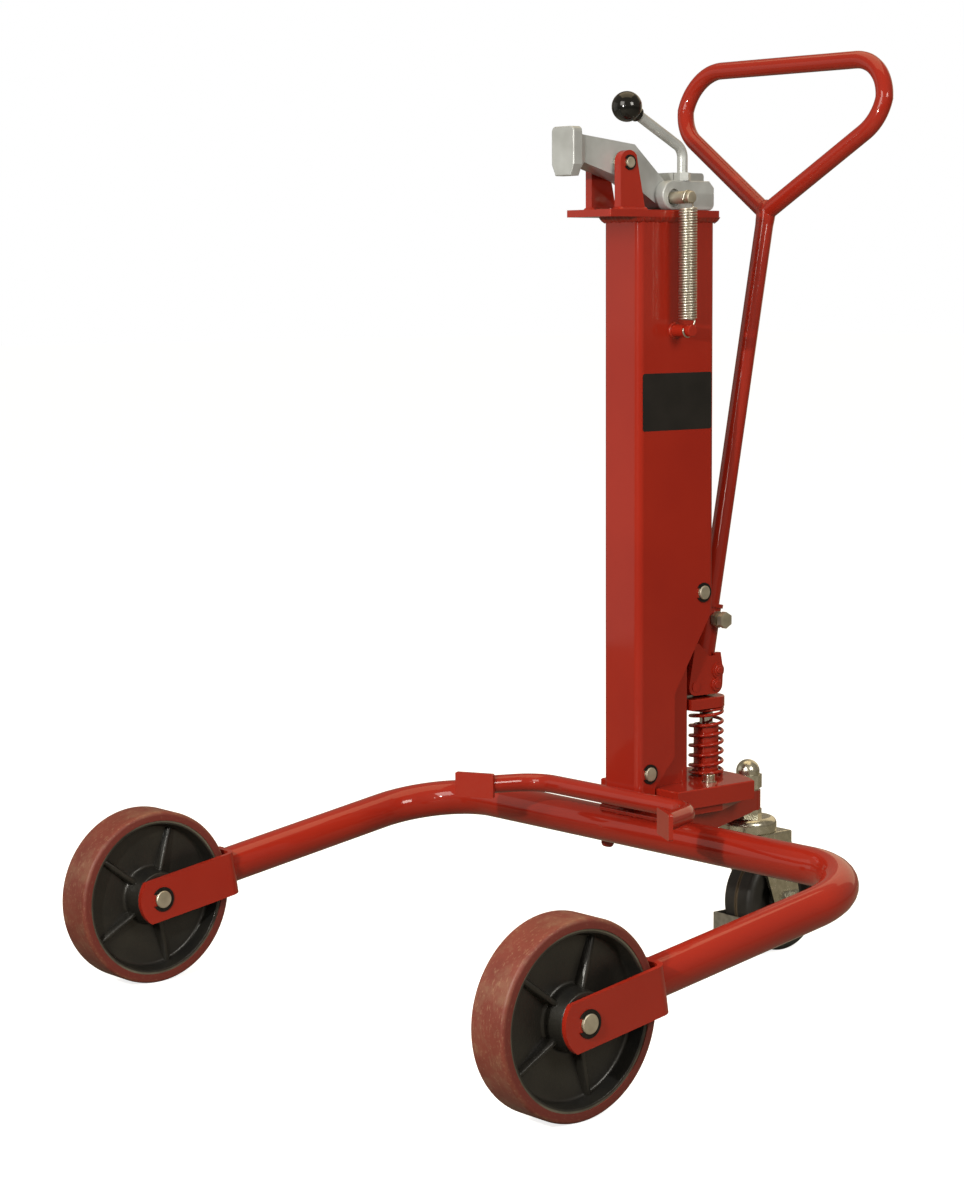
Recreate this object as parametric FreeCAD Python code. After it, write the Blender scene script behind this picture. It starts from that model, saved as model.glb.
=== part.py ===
import FreeCAD, Part
import math
import os

# Hydraulic drum trolley for a 205 litre drum, in millimetres and degrees.
# X runs across the trolley, Y from the drum side to the operator, Z up.
# Lengths along Y are measured from the mast's centre line, and the whole part is then
# moved so that the origin lies on the floor under the middle of the footprint.

Vector = FreeCAD.Vector
ACROSS = Vector(1, 0, 0)
UP = Vector(0, 0, 1)

# Fits
pin_fit = 0.05
face_gap = 0.4
roll_gap = 0.3
wire_sides = 6

# Front wheels
wheel_d = 200.0
wheel_w = 48.0
tyre_t = 13.0
rim_t = 8.0
web_t = 8.0
rib_count = 5
rib_phase = -20.0
rib_t = 6.0
hub_d = 60.0
hub_w = 57.0
bearing_d = 47.0
bearing_w = 14.0
axle_d = 20.0
axle_end = 3.0
wheel_track = 730.0
axle_reach = 470.0

# Wheel forks, bent from flat strap
strap_t = 5.5
strap_h = 50.0
strap_bend_r = 8.0
fork_gap = 1.0
fork_nose = 30.0
fork_nose_r = 34.0
fork_heel_gap = 4.0

# Base frame, one bent tube
tube_d = 42.4
tube_wall = 3.2
tube_bend_r = 100.0
cross_reach = 26.0
frame_slope = 9.1

# Pump block and the bracket under it
block_w = 130.0
block_lip = 1.0
block_reach = 62.0
block_bulge = 20.0
block_t = 21.5
block_top = 225.0
bracket_plate_t = 9.0
bracket_web_t = 8.0
bracket_front = 36.0
screw_x = 40.0
screw_behind = 13.0
screw_d = 8.0
screw_head_d = 13.0
screw_head_h = 8.0
washer_d = 17.0
washer_t = 1.6

# Fixed column with the ram inside
column_w = 40.0
column_wall = 3.2
column_h = 500.0
cylinder_d = 32.0
cylinder_h = 420.0
cylinder_bore = 25.0
gland_h = 18.0
ram_d = 20.0
piston_h = 14.0

# Mast, a rectangular tube that slides over the column
mast_w = 60.0
mast_depth = 120.0
mast_wall = 4.0
mast_corner_r = 8.0
mast_bottom = 207.0
cut_rear_z = 431.0
cut_knee_y = -3.0
cut_knee_z = 332.0
cut_heel_z = 258.0
cut_toe_y = -33.5
cut_toe_z = 227.0
guide_roller_d = 24.0
guide_clear = 1.7
guide_roller_w = 48.0
guide_pin_d = 16.0
guide_pin_end = 3.5
upper_guide_z = 446.0
lower_guide_z = 243.0
lift = 250.0

# Top plate and jaw ears
plate_w = 73.0
plate_t = 8.0
plate_top = 883.0
plate_nose = 49.5
ear_t = 10.0
ear_gap = 38.0
ear_r = 13.5
ear_inset = 10.5
jaw_pin_d = 12.0
jaw_pin_ahead = 13.5
jaw_pin_h = 52.0
jaw_pin_end = 3.2

# Jaw arm with its nose
arm_w = 30.0
arm_reach = 61.5
arm_front_top = 82.0
arm_front_low = 53.0
arm_knee = 21.0
arm_knee_top = 72.7
arm_elbow = 10.5
arm_low = 32.5
nose_w = 37.0
nose_h = 54.0
nose_t = 12.5
nose_low = 36.5
nose_chamfer_w = 6.0
nose_chamfer_h = 12.5
nose_corner_r = 6.0
nose_taper = 7.0

# Cam, cam pin and ball lever
cam_pin_d = 14.0
cam_pin_y = -5.0
cam_pin_h = 14.0
cam_pin_reach = 29.0
cam_cheek_t = 14.0
cam_h = 33.0
cam_rear = 58.0
cam_bridge_h = 9.5
cam_ridge_w = 24.0
cam_heel_r = 7.5
cam_edge_r = 1.5
pin_recess_d = 20.0
pin_recess = 4.0
lever_rod_d = 12.0
lever_stud_d = 8.0
lever_foot_y = 14.0
lever_rise = 52.0
lever_lean = 62.5
lever_bend_r = 16.0
lever_length = 91.5
lever_nut_af = 17.0
lever_nut_h = 9.0
knob_d = 34.0

# Jaw spring between the cam pin and the anchor pin on the mast
jaw_wire_d = 2.4
jaw_coil_d = 21.5
jaw_coils = 41
spring_offset = 22.0
spring_groove_w = 4.5
anchor_d = 14.0
anchor_reach = 30.0
anchor_drop = 135.0

# Drum bar with its two pads
bar_d = 20.0
bar_z = 217.0
bar_bend_r = 40.0
bar_corner_x = 118.0
pad_x = 160.0
pad_reach = 85.5
pad_angle = 28.0
pad_w = 48.0
pad_h = 29.0
pad_t = 5.0

# Hand pump
pump_behind = 47.0
barrel_d = 29.5
barrel_h = 61.0
barrel_lip = 3.0
plunger_d = 15.6
plunger_h = 59.5
seat_t = 12.5
seat_r = 21.5
seat_bottom = 307.5
pump_wire_d = 4.0
pump_coil_d = 42.0
pump_coils = 6
pivot_behind = 11.5
pivot_d = 12.0
roller_arm = 32.5
roller_d = 29.0
roller_axle_d = 10.0
lug_w = 25.0
cheek_t = 6.0
pivot_boss_r = 10.5
roller_boss_r = 11.0
rear_boss_arm = 35.5
rear_boss_rise = 16.2
rear_boss_r = 9.0
cheek_apex_lean = 2.0
cheek_apex_h = 50.0
lug_reach = 40.5
lug_rise = 37.2

# Handle
handle_d = 19.0
handle_wall = 2.0
handle_tilt = 11.1
handle_foot_arm = 26.5
handle_foot_rise = 17.2
handle_joint_z = 883.0
loop_w = 323.0
loop_top_z = 1055.0
loop_shoulder_r = 52.0
loop_branch_angle = 33.0
socket_d = 27.0
socket_h = 76.0
collar_d = 31.0
collar_h = 4.5
clamp_drop = 17.5
clamp_bolt_d = 10.0
clamp_nut_af = 17.0
clamp_nut_h = 6.0
clamp_gap = 4.0
clamp_head_h = 7.0

# Rear caster
stem_behind = 117.0
stem_d = 20.0
boss_d = 30.5
boss_top = 199.0
boss_h = 23.0
acorn_af = 30.0
acorn_hex_h = 16.0
acorn_dome_d = 28.0
acorn_h = 34.0
stem_washer_t = 2.5
jam_nut_h = 9.0
cap_d = 69.0
cap_h = 17.5
cap_shoulder_r = 8.0
caster_wheel_d = 125.0
caster_wheel_w = 46.0
caster_tyre_t = 17.0
caster_groove_w = 3.0
caster_groove = 1.2
caster_shoulder_r = 8.0
caster_trail = 43.0
caster_turn = 0.0
yoke_t = 4.0
yoke_gap = 2.0
yoke_skirt = 14.0
yoke_rear = 43.5
yoke_front_r = 24.0
leg_boss_r = 16.0
caster_axle_d = 12.0
caster_nut_af = 19.0
caster_nut_h = 9.0
guard_t = 2.0
guard_front = 22.0
guard_low = 14.0
guard_top = 48.0

# Release valve on the block's far side
valve_y = 14.0
valve_d = 12.0
valve_hub_d = 20.0
release_gap = 18.0
valve_reach = 22.0
release_l = 71.0
release_w = 14.0
release_t = 5.0
release_lean = 12.0

# Values worked out from the sizes above
wheel_r = wheel_d / 2
half_track = wheel_track / 2
fork_inner = hub_w / 2 + fork_gap
fork_outer = fork_inner + strap_t
slope = math.radians(frame_slope)
tube_r = tube_d / 2
cross_z = wheel_r + (axle_reach - cross_reach) * math.tan(slope)
block_bottom = block_top - block_t
column_depth = mast_depth - 2 * (mast_wall + guide_clear + guide_roller_d + roll_gap)
column_back = column_depth / 2
block_front = column_back + block_lip
block_rear = column_back + block_reach
screw_y = column_back + screw_behind
stem_y = column_back + stem_behind
pump_y = column_back + pump_behind
pivot_y = column_back + pivot_behind
roller_y = pivot_y + roller_arm
rear_boss_y = pivot_y + rear_boss_arm
cheek_apex_y = pivot_y + cheek_apex_lean
lug_rear_y = pivot_y + lug_reach
handle_foot_y = pivot_y + handle_foot_arm
guide_y = column_depth / 2 + roll_gap + guide_roller_d / 2
plate_front = mast_depth / 2 + plate_nose
plate_under = plate_top - plate_t
jaw_pin_y = -mast_depth / 2 - jaw_pin_ahead
jaw_pin_z = plate_top + jaw_pin_h
ear_outer = ear_gap / 2 + ear_t
cam_pin_z = plate_top + cam_pin_h
cam_inner = arm_w / 2 + face_gap
cam_outer = cam_inner + cam_cheek_t
cam_bottom = plate_top + face_gap
cam_top = cam_bottom + cam_h
arm_heel_r = cam_pin_h - 2 * face_gap
arm_front_y = jaw_pin_y - arm_reach
pad_y = -mast_depth / 2 - pad_reach
spring_x = cam_outer + spring_offset
anchor_z = plate_top - anchor_drop
seat_top = seat_bottom + seat_t
roller_z = seat_top + roll_gap + roller_d / 2
pivot_z = roller_z
handle_foot_z = pivot_z + handle_foot_rise
rear_boss_z = pivot_z + rear_boss_rise
lug_top_z = pivot_z + lug_rise
cheek_inner = lug_w / 2 + face_gap
cheek_outer = cheek_inner + cheek_t
socket_top_z = handle_foot_z + socket_h
clamp_z = socket_top_z - clamp_drop
caster_r = caster_wheel_d / 2
jam_nut_bottom = boss_top - boss_h - jam_nut_h
cap_bottom = jam_nut_bottom - cap_h
yoke_top_z = cap_bottom - face_gap
yoke_inner = caster_wheel_w / 2 + 2 * yoke_gap
yoke_outer = yoke_inner + yoke_t
turn = math.radians(caster_turn)
caster_tread = caster_wheel_w / 2 - caster_shoulder_r
caster_rear = stem_y + (caster_trail + caster_r) * math.cos(turn) + caster_tread * math.sin(turn)
mast_y = (axle_reach + wheel_r - caster_rear) / 2


def block(x0, x1, y0, y1, z0, z1):
    return Part.makeBox(x1 - x0, y1 - y0, z1 - z0, Vector(x0, y0, z0))


def round_bar(diameter, start, end):
    along = end - start
    return Part.makeCylinder(diameter / 2, along.Length, start, along)


def cross_bar(diameter, y, z, x0, x1):
    return round_bar(diameter, Vector(x0, y, z), Vector(x1, y, z))


def upright(diameter, y, z0, z1, x=0):
    return round_bar(diameter, Vector(x, y, z0), Vector(x, y, z1))


def prism(points, direction):
    """A closed outline of points, pushed along a direction."""
    outline = Part.makePolygon(points + points[:1])
    return Part.Face(outline).extrude(direction)


def side_plate(outline, x0, x1):
    """A plate across X from a closed outline of (y, z) points."""
    return prism([Vector(x0, y, z) for y, z in outline], ACROSS * (x1 - x0))


def hexagon(across_flats, centre, along, height):
    radius = across_flats / math.sqrt(3)
    corners = [Vector(radius * math.cos(math.radians(60 * k)), radius * math.sin(math.radians(60 * k)), 0)
               for k in range(6)]
    nut = prism(corners, UP * height)
    nut.Placement = FreeCAD.Placement(centre, FreeCAD.Rotation(UP, along))
    return nut


def ring_turned(outline, centre, along):
    """A turned piece from a closed outline of (radius, height along the axis) points."""
    face = Part.Face(Part.makePolygon([Vector(r, 0, h) for r, h in outline + outline[:1]]))
    piece = face.revolve(Vector(0, 0, 0), UP, 360)
    piece.Placement = FreeCAD.Placement(centre, FreeCAD.Rotation(UP, along))
    return piece


def rounded(shape, radius, keep):
    """Fillet the edges that the test keeps."""
    return shape.makeFillet(radius, [edge for edge in shape.Edges if keep(edge)])


def runs_along(edge, direction):
    if not isinstance(edge.Curve, (Part.Line, Part.LineSegment)):
        return False
    return edge.tangentAt(edge.FirstParameter).cross(direction).Length < 1e-6


def clip(pin_d, y, z, x, outward):
    """An open retaining ring in a groove, its thickness towards the given side."""
    outer = cross_bar(clip_ratio * pin_d, y, z, x, x + outward * clip_t)
    bore = cross_bar(pin_d - 2 * groove_depth + 2 * pin_fit, y, z, x - 1, x + outward * clip_t + 1)
    if outward < 0:
        bore = cross_bar(pin_d - 2 * groove_depth + 2 * pin_fit, y, z, x + 1, x + outward * clip_t - 1)
    mouth = block(min(x, x + outward * clip_t) - 1, max(x, x + outward * clip_t) + 1,
                  y - pin_d, y, z - clip_mouth * pin_d / 2, z + clip_mouth * pin_d / 2)
    return outer.cut(bore).cut(mouth)


clip_t = 1.4
clip_ratio = 1.42
clip_mouth = 0.7
groove_depth = 1.0


def grooved_pin(diameter, y, z, half_seat, end):
    """A cross pin with a retaining groove just outside each of its two seats."""
    pin = cross_bar(diameter, y, z, -half_seat - end, half_seat + end)
    pin = pin.makeChamfer(0.8, [edge for edge in pin.Edges if isinstance(edge.Curve, Part.Circle)])
    for side in (-1, 1):
        near = side * (half_seat + pin_fit)
        far = side * (half_seat + clip_t + 2 * pin_fit)
        groove = cross_bar(2 * diameter, y, z, min(near, far), max(near, far))
        core = cross_bar(diameter - 2 * groove_depth, y, z, min(near, far) - 1, max(near, far) + 1)
        pin = pin.cut(groove.cut(core))
    return pin


def bent_path(points, radii):
    """Straight runs joined by tangent arcs at the inner points."""
    edges = []
    start = points[0]
    for before, corner, after, radius in zip(points, points[1:], points[2:], radii):
        to_before = (before - corner).normalize()
        to_after = (after - corner).normalize()
        half = to_before.getAngle(to_after) / 2
        setback = radius / math.tan(half)
        inward = (to_before + to_after).normalize()
        middle = corner + inward * (radius / math.sin(half) - radius)
        first = corner + to_before * setback
        last = corner + to_after * setback
        edges.append(Part.LineSegment(start, first).toShape())
        edges.append(Part.Arc(first, middle, last).toShape())
        start = last
    edges.append(Part.LineSegment(start, points[-1]).toShape())
    return Part.Wire(edges)


def swept_rod(path, diameter, sides=0):
    """A rod along a path: round, or with the given number of flats."""
    first = path.Edges[0]
    start = first.valueAt(first.FirstParameter)
    along = first.tangentAt(first.FirstParameter)
    section = Part.Wire(Part.makeCircle(diameter / 2, start, along))
    if sides:
        corners = section.discretize(sides + 1)
        section = Part.makePolygon(corners[:-1] + corners[:1])
    return path.makePipeShell([section], True, False)


def biarc(start, along, end, onward):
    """Two tangent arcs from one point and direction to another."""
    span = end - start
    total = along + onward
    a = 2 * (along.dot(onward) - 1)
    b = -2 * span.dot(total)
    c = span.dot(span)
    if abs(a) < 1e-9:
        reach = -c / b
    else:
        reach = (-b - math.sqrt(b * b - 4 * a * c)) / (2 * a)
    joint = (start + along * reach + end - onward * reach) / 2
    arcs = []
    for p, corner, q in ((start, start + along * reach, joint), (joint, end - onward * reach, end)):
        chord = (p + q) / 2
        half = (q - p).Length / 2
        rise = (corner - chord).Length
        radius = reach * half / rise
        middle = chord + (corner - chord).normalize() * (radius - math.sqrt(radius * radius - half * half))
        arcs.append(Part.Arc(p, middle, q).toShape())
    return arcs


def coil_points(centre_x, centre_y, radius, z0, pitch, turns):
    """Points and directions every half turn of a coil that starts on its +Y side."""
    stops = []
    for k in range(2 * turns + 1):
        angle = math.pi * (0.5 + k)
        point = Vector(centre_x + radius * math.cos(angle), centre_y + radius * math.sin(angle),
                       z0 + pitch * k / 2)
        way = Vector(-math.sin(angle) * radius, math.cos(angle) * radius, pitch / (2 * math.pi))
        stops.append((point, way.normalize()))
    return stops


def joined_arcs(stops):
    edges = []
    for (start, along), (end, onward) in zip(stops, stops[1:]):
        edges += biarc(start, along, end, onward)
    return edges


def least_self_gap(wire, wire_d):
    """The smallest clear space between two stretches of one tube, measured on points."""
    step = wire_d / 2
    points = wire.discretize(Distance=step)
    apart = int(math.pi * wire_d / step)
    least = 1e9
    for i, p in enumerate(points):
        for q in points[i + apart:]:
            if abs(p.z - q.z) < 4 * wire_d:
                least = min(least, (p - q).Length)
    return least - wire_d


def front_wheel(side):
    """Polyurethane tyre on a ribbed cast core with a ball bearing in each end of its hub."""
    centre = Vector(side * half_track, -axle_reach, wheel_r)
    rim_r = wheel_r - tyre_t
    start = centre - ACROSS * (wheel_w / 2)
    tyre = Part.makeCylinder(wheel_r, wheel_w, start, ACROSS)
    tyre = tyre.makeFillet(tyre_t / 3, [e for e in tyre.Edges if isinstance(e.Curve, Part.Circle)])
    tyre = tyre.cut(Part.makeCylinder(rim_r, wheel_w, start, ACROSS))

    rim_half = wheel_w / 2 - 1.5
    web_half = web_t / 2
    hub_half = hub_w / 2
    hub_r = hub_d / 2
    bore_r = axle_d / 2 + 4
    half_profile = [(rim_r, rim_half), (rim_r - rim_t * 0.6, rim_half), (rim_r - rim_t, web_half + 3),
                    (rim_r - rim_t - 3, web_half), (hub_r + 3, web_half), (hub_r, web_half + 3),
                    (hub_r - 1, hub_half), (bearing_d / 2, hub_half), (bearing_d / 2, hub_half - bearing_w),
                    (bore_r, hub_half - bearing_w)]
    mirrored = [(r, -h) for r, h in reversed(half_profile)]
    core = ring_turned(half_profile + mirrored, centre, ACROSS)
    rib_out = rim_r - rim_t + 0.5
    for face in (-1, 1):
        rib = prism([Vector(face * (web_half - 1), -rib_t / 2, hub_r - 3),
                     Vector(face * (hub_half - 9), -rib_t / 2, hub_r - 3),
                     Vector(face * (rim_half - 9), -rib_t / 2, rib_out),
                     Vector(face * (web_half - 1), -rib_t / 2, rib_out)], Vector(0, rib_t, 0))
        for k in range(rib_count):
            turned = rib.copy()
            turned.rotate(Vector(0, 0, 0), ACROSS, rib_phase + 360.0 / rib_count * k)
            turned.translate(centre)
            core = core.fuse(turned)
    core = core.removeSplitter()

    bearings = []
    for face in (-1, 1):
        inner = axle_d / 2 + pin_fit
        outer = bearing_d / 2
        land = (outer - inner) / 4
        race = [(inner, 0), (outer, 0), (outer, bearing_w), (outer - land, bearing_w),
                (outer - land, bearing_w - 1), (inner + land, bearing_w - 1), (inner + land, bearing_w),
                (inner, bearing_w)]
        seat = centre + ACROSS * (face * (hub_half - bearing_w))
        bearings.append(ring_turned(race, seat, ACROSS * face))
    return tyre, core, Part.makeCompound(bearings)


def front_fork(side):
    """Strap bent round the wheel, in line with the sloping leg, and rounded in front of the axle."""
    heel = wheel_r + fork_heel_gap
    rear = heel + strap_t
    front = fork_nose + 5
    half_h = strap_h / 2
    outer = block(-fork_outer, fork_outer, -front, rear, -half_h, half_h)
    outer = rounded(outer, strap_bend_r + strap_t,
                    lambda e: runs_along(e, UP) and e.CenterOfMass.y > 0)
    inner = block(-fork_inner, fork_inner, -front - 1, heel, -half_h - 1, half_h + 1)
    inner = rounded(inner, strap_bend_r, lambda e: runs_along(e, UP) and e.CenterOfMass.y > 0)
    nose_back = fork_nose - fork_nose_r + math.sqrt(fork_nose_r ** 2 - half_h ** 2)
    outline = Part.Wire([
        Part.Arc(Vector(-fork_outer, -nose_back, half_h), Vector(-fork_outer, -fork_nose, 0),
                 Vector(-fork_outer, -nose_back, -half_h)).toShape(),
        Part.makePolygon([Vector(-fork_outer, -nose_back, -half_h), Vector(-fork_outer, rear, -half_h),
                          Vector(-fork_outer, rear, half_h), Vector(-fork_outer, -nose_back, half_h)])])
    strap = outer.cut(inner).common(Part.Face(outline).extrude(ACROSS * (2 * fork_outer)))
    strap = strap.cut(cross_bar(axle_d + 2 * pin_fit, 0, 0, -fork_outer - 1, fork_outer + 1))
    strap.rotate(Vector(0, 0, 0), ACROSS, frame_slope)
    strap.translate(Vector(side * half_track, -axle_reach, wheel_r))
    return strap


def base_tube(diameter):
    """The bent tube from fork to fork: two sloping legs and the cross run behind the drum."""
    heel = wheel_r + fork_heel_gap + strap_t
    leg_y = -axle_reach + heel * math.cos(slope)
    leg_z = wheel_r + heel * math.sin(slope)
    route = [Vector(-half_track, leg_y, leg_z), Vector(-half_track, -cross_reach, cross_z),
             Vector(half_track, -cross_reach, cross_z), Vector(half_track, leg_y, leg_z)]
    return swept_rod(bent_path(route, [tube_bend_r, tube_bend_r]), diameter)


def base_bracket():
    """Welded bracket from the cross tube back to the caster's boss, with two webs that close in on it."""
    half_w = block_w / 2 - 6
    rear = stem_y - boss_d / 4
    top = prism([Vector(x, y, block_bottom - bracket_plate_t) for x, y in (
        (-half_w, -bracket_front), (half_w, -bracket_front), (half_w, block_rear / 2),
        (boss_d / 2, rear), (-boss_d / 2, rear), (-half_w, block_rear / 2))], UP * bracket_plate_t)
    bracket = top
    web_low = cross_z - tube_r / 2
    for side in (-1, 1):
        foot = Vector(side * (half_w - bracket_web_t), -cross_reach, 0)
        tip = Vector(side * (boss_d / 2 - bracket_web_t / 2), stem_y, 0)
        along = tip - foot
        across = Vector(along.y, -along.x, 0).normalize() * (bracket_web_t / 2)
        web = prism([foot - across + UP * web_low, tip - across + UP * (boss_top - boss_h),
                     tip - across + UP * block_bottom, foot - across + UP * block_bottom], across * 2)
        bracket = bracket.fuse(web)
    for z0, z1 in ((0, boss_top - boss_h), (boss_top, block_top)):
        bracket = bracket.cut(upright(1.3 * acorn_af, stem_y, z0, z1))
    bracket = bracket.fuse(upright(boss_d, stem_y, boss_top - boss_h, boss_top))
    bracket = bracket.cut(block(-half_w, half_w, stem_y, stem_y + boss_d, 0, block_top).cut(
        upright(boss_d, stem_y, 0, block_top)))
    bracket = bracket.cut(upright(stem_d + 2 * pin_fit, stem_y, 0, block_top))
    bracket = bracket.cut(cross_bar(tube_d + 2 * pin_fit, -cross_reach, cross_z, -half_w, half_w))
    return bracket.removeSplitter()


def pump_block():
    """Oil block: straight sides, a bowed rear end, screwed down on the bracket."""
    half_w = block_w / 2
    outline = Part.Wire([
        Part.makePolygon([Vector(half_w, block_rear, block_bottom), Vector(half_w, -block_front, block_bottom),
                          Vector(-half_w, -block_front, block_bottom),
                          Vector(-half_w, block_rear, block_bottom)]),
        Part.Arc(Vector(-half_w, block_rear, block_bottom), Vector(0, block_rear + block_bulge, block_bottom),
                 Vector(half_w, block_rear, block_bottom)).toShape()])
    body = Part.Face(outline).extrude(UP * block_t)
    body = body.makeChamfer(1.2, [e for e in body.Edges if e.BoundBox.ZMin > block_top - 0.1])
    for x in (-screw_x, screw_x):
        body = body.cut(upright(screw_d + 2 * pin_fit, screw_y, block_top - block_t / 2, block_top, x))
    valve_hole = cross_bar(valve_d + 2 * pin_fit, valve_y, block_top - block_t / 2, -half_w, -half_w + valve_reach)
    return body.cut(valve_hole)


def block_screws():
    """Two socket screws on washers."""
    pieces = []
    for x in (-screw_x, screw_x):
        washer = upright(washer_d, screw_y, block_top, block_top + washer_t, x)
        pieces.append(washer.cut(upright(screw_d + 2 * pin_fit, screw_y, block_top, block_top + washer_t, x)))
        seat = block_top + washer_t
        head = upright(screw_head_d, screw_y, seat, seat + screw_head_h, x)
        head = head.makeFillet(1.0, [e for e in head.Edges if e.BoundBox.ZMin > seat + 1])
        shank = upright(screw_d, screw_y, block_top - block_t / 2 + 1, seat, x)
        socket = hexagon(screw_d * 0.75, Vector(x, screw_y, seat + screw_head_h / 2), UP, screw_head_h)
        pieces.append(head.fuse(shank).cut(socket).removeSplitter())
    return Part.makeCompound(pieces)


def column():
    """Fixed box column on the block, with the lug that carries the pump lever."""
    half_w = column_w / 2
    half_d = column_depth / 2
    tube = block(-half_w, half_w, -half_d, half_d, block_top, block_top + column_h)
    tube = rounded(tube, 2 * column_wall, lambda e: runs_along(e, UP))
    tube = tube.cut(block(-half_w + column_wall, half_w - column_wall, -half_d + column_wall,
                          half_d - column_wall, block_top, block_top + column_h))
    lug = cross_bar(2 * pivot_boss_r, pivot_y, pivot_z, -lug_w / 2, lug_w / 2)
    lug = lug.fuse(block(-lug_w / 2, lug_w / 2, half_d - column_wall / 2, pivot_y,
                         pivot_z - pivot_boss_r, pivot_z + pivot_boss_r))
    lug = lug.cut(cross_bar(pivot_d + 2 * pin_fit, pivot_y, pivot_z, -lug_w, lug_w))
    return tube.fuse(lug).removeSplitter()


def ram_cylinder():
    """Hydraulic cylinder with a gland at its top."""
    top = block_top + cylinder_h
    body = upright(cylinder_d, 0, block_top, top)
    body = body.cut(upright(cylinder_bore, 0, block_top + gland_h, top - gland_h))
    return body.cut(upright(ram_d + 2 * pin_fit, 0, block_top + gland_h, top))


def ram_rod():
    """Ram with its piston, from inside the cylinder up to the underside of the top plate."""
    low = block_top + gland_h + 2
    rod = upright(ram_d, 0, low, plate_under)
    return rod.fuse(upright(cylinder_bore - 2 * pin_fit, 0, low, low + piston_h)).removeSplitter()


def mast_tube():
    """Rectangular tube, cut away at the lower rear so that it clears the pump."""
    half_w = mast_w / 2
    half_d = mast_depth / 2
    tube = block(-half_w, half_w, -half_d, half_d, mast_bottom, plate_under)
    tube = rounded(tube, mast_corner_r, lambda e: runs_along(e, UP))
    inside = block(-half_w + mast_wall, half_w - mast_wall, -half_d + mast_wall, half_d - mast_wall,
                   mast_bottom, plate_under)
    inside = rounded(inside, mast_corner_r - mast_wall, lambda e: runs_along(e, UP))
    away = side_plate([(half_d + 1, cut_rear_z), (cut_knee_y, cut_knee_z), (cut_knee_y, cut_heel_z),
                       (cut_toe_y, cut_toe_z), (cut_toe_y, mast_bottom - 1), (half_d + 1, mast_bottom - 1)],
                      -mast_w, mast_w)
    tube = tube.cut(inside).cut(away)
    for y, z in ((guide_y, upper_guide_z), (-guide_y, lower_guide_z)):
        tube = tube.cut(cross_bar(guide_pin_d + 2 * pin_fit, y, z, -mast_w, mast_w))
    return tube


def guide_roller(y, z):
    """Plain roller between the mast's side walls, running on the column."""
    roller = cross_bar(guide_roller_d, y, z, -guide_roller_w / 2, guide_roller_w / 2)
    return roller.cut(cross_bar(guide_pin_d + 2 * pin_fit, y, z, -guide_roller_w, guide_roller_w))


def jaw_ears():
    """Two upright plates with a straight front edge, a sloping rear edge and a round top."""
    ears = []
    front = jaw_pin_y - ear_r
    foot = -mast_depth / 2 + ear_inset
    lean = math.atan2(foot - jaw_pin_y, jaw_pin_h)
    reach = math.hypot(foot - jaw_pin_y, jaw_pin_h)
    touch = lean - math.acos(ear_r / reach) + math.pi / 2
    rear_y = jaw_pin_y + ear_r * math.cos(touch)
    rear_z = jaw_pin_z + ear_r * math.sin(touch)
    for side in (-1, 1):
        x = side * ear_gap / 2
        outline = Part.Wire([
            Part.makePolygon([Vector(x, rear_y, rear_z), Vector(x, foot, plate_top), Vector(x, front, plate_top),
                              Vector(x, front, jaw_pin_z)]),
            Part.Arc(Vector(x, front, jaw_pin_z), Vector(x, jaw_pin_y, jaw_pin_z + ear_r),
                     Vector(x, rear_y, rear_z)).toShape()])
        ear = Part.Face(outline).extrude(ACROSS * (side * ear_t))
        ears.append(ear.cut(cross_bar(jaw_pin_d + 2 * pin_fit, jaw_pin_y, jaw_pin_z, -mast_w, mast_w)))
    return Part.makeCompound(ears)


def jaw_spacers():
    """Washers that centre the jaw arm between the ears."""
    washers = []
    for side in (-1, 1):
        near = side * (arm_w / 2 + face_gap / 2)
        far = side * ear_gap / 2
        washer = cross_bar(2 * jaw_pin_d, jaw_pin_y, jaw_pin_z, near, far)
        washers.append(washer.cut(cross_bar(jaw_pin_d + 2 * pin_fit, jaw_pin_y, jaw_pin_z, -mast_w, mast_w)))
    return Part.makeCompound(washers)


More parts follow.
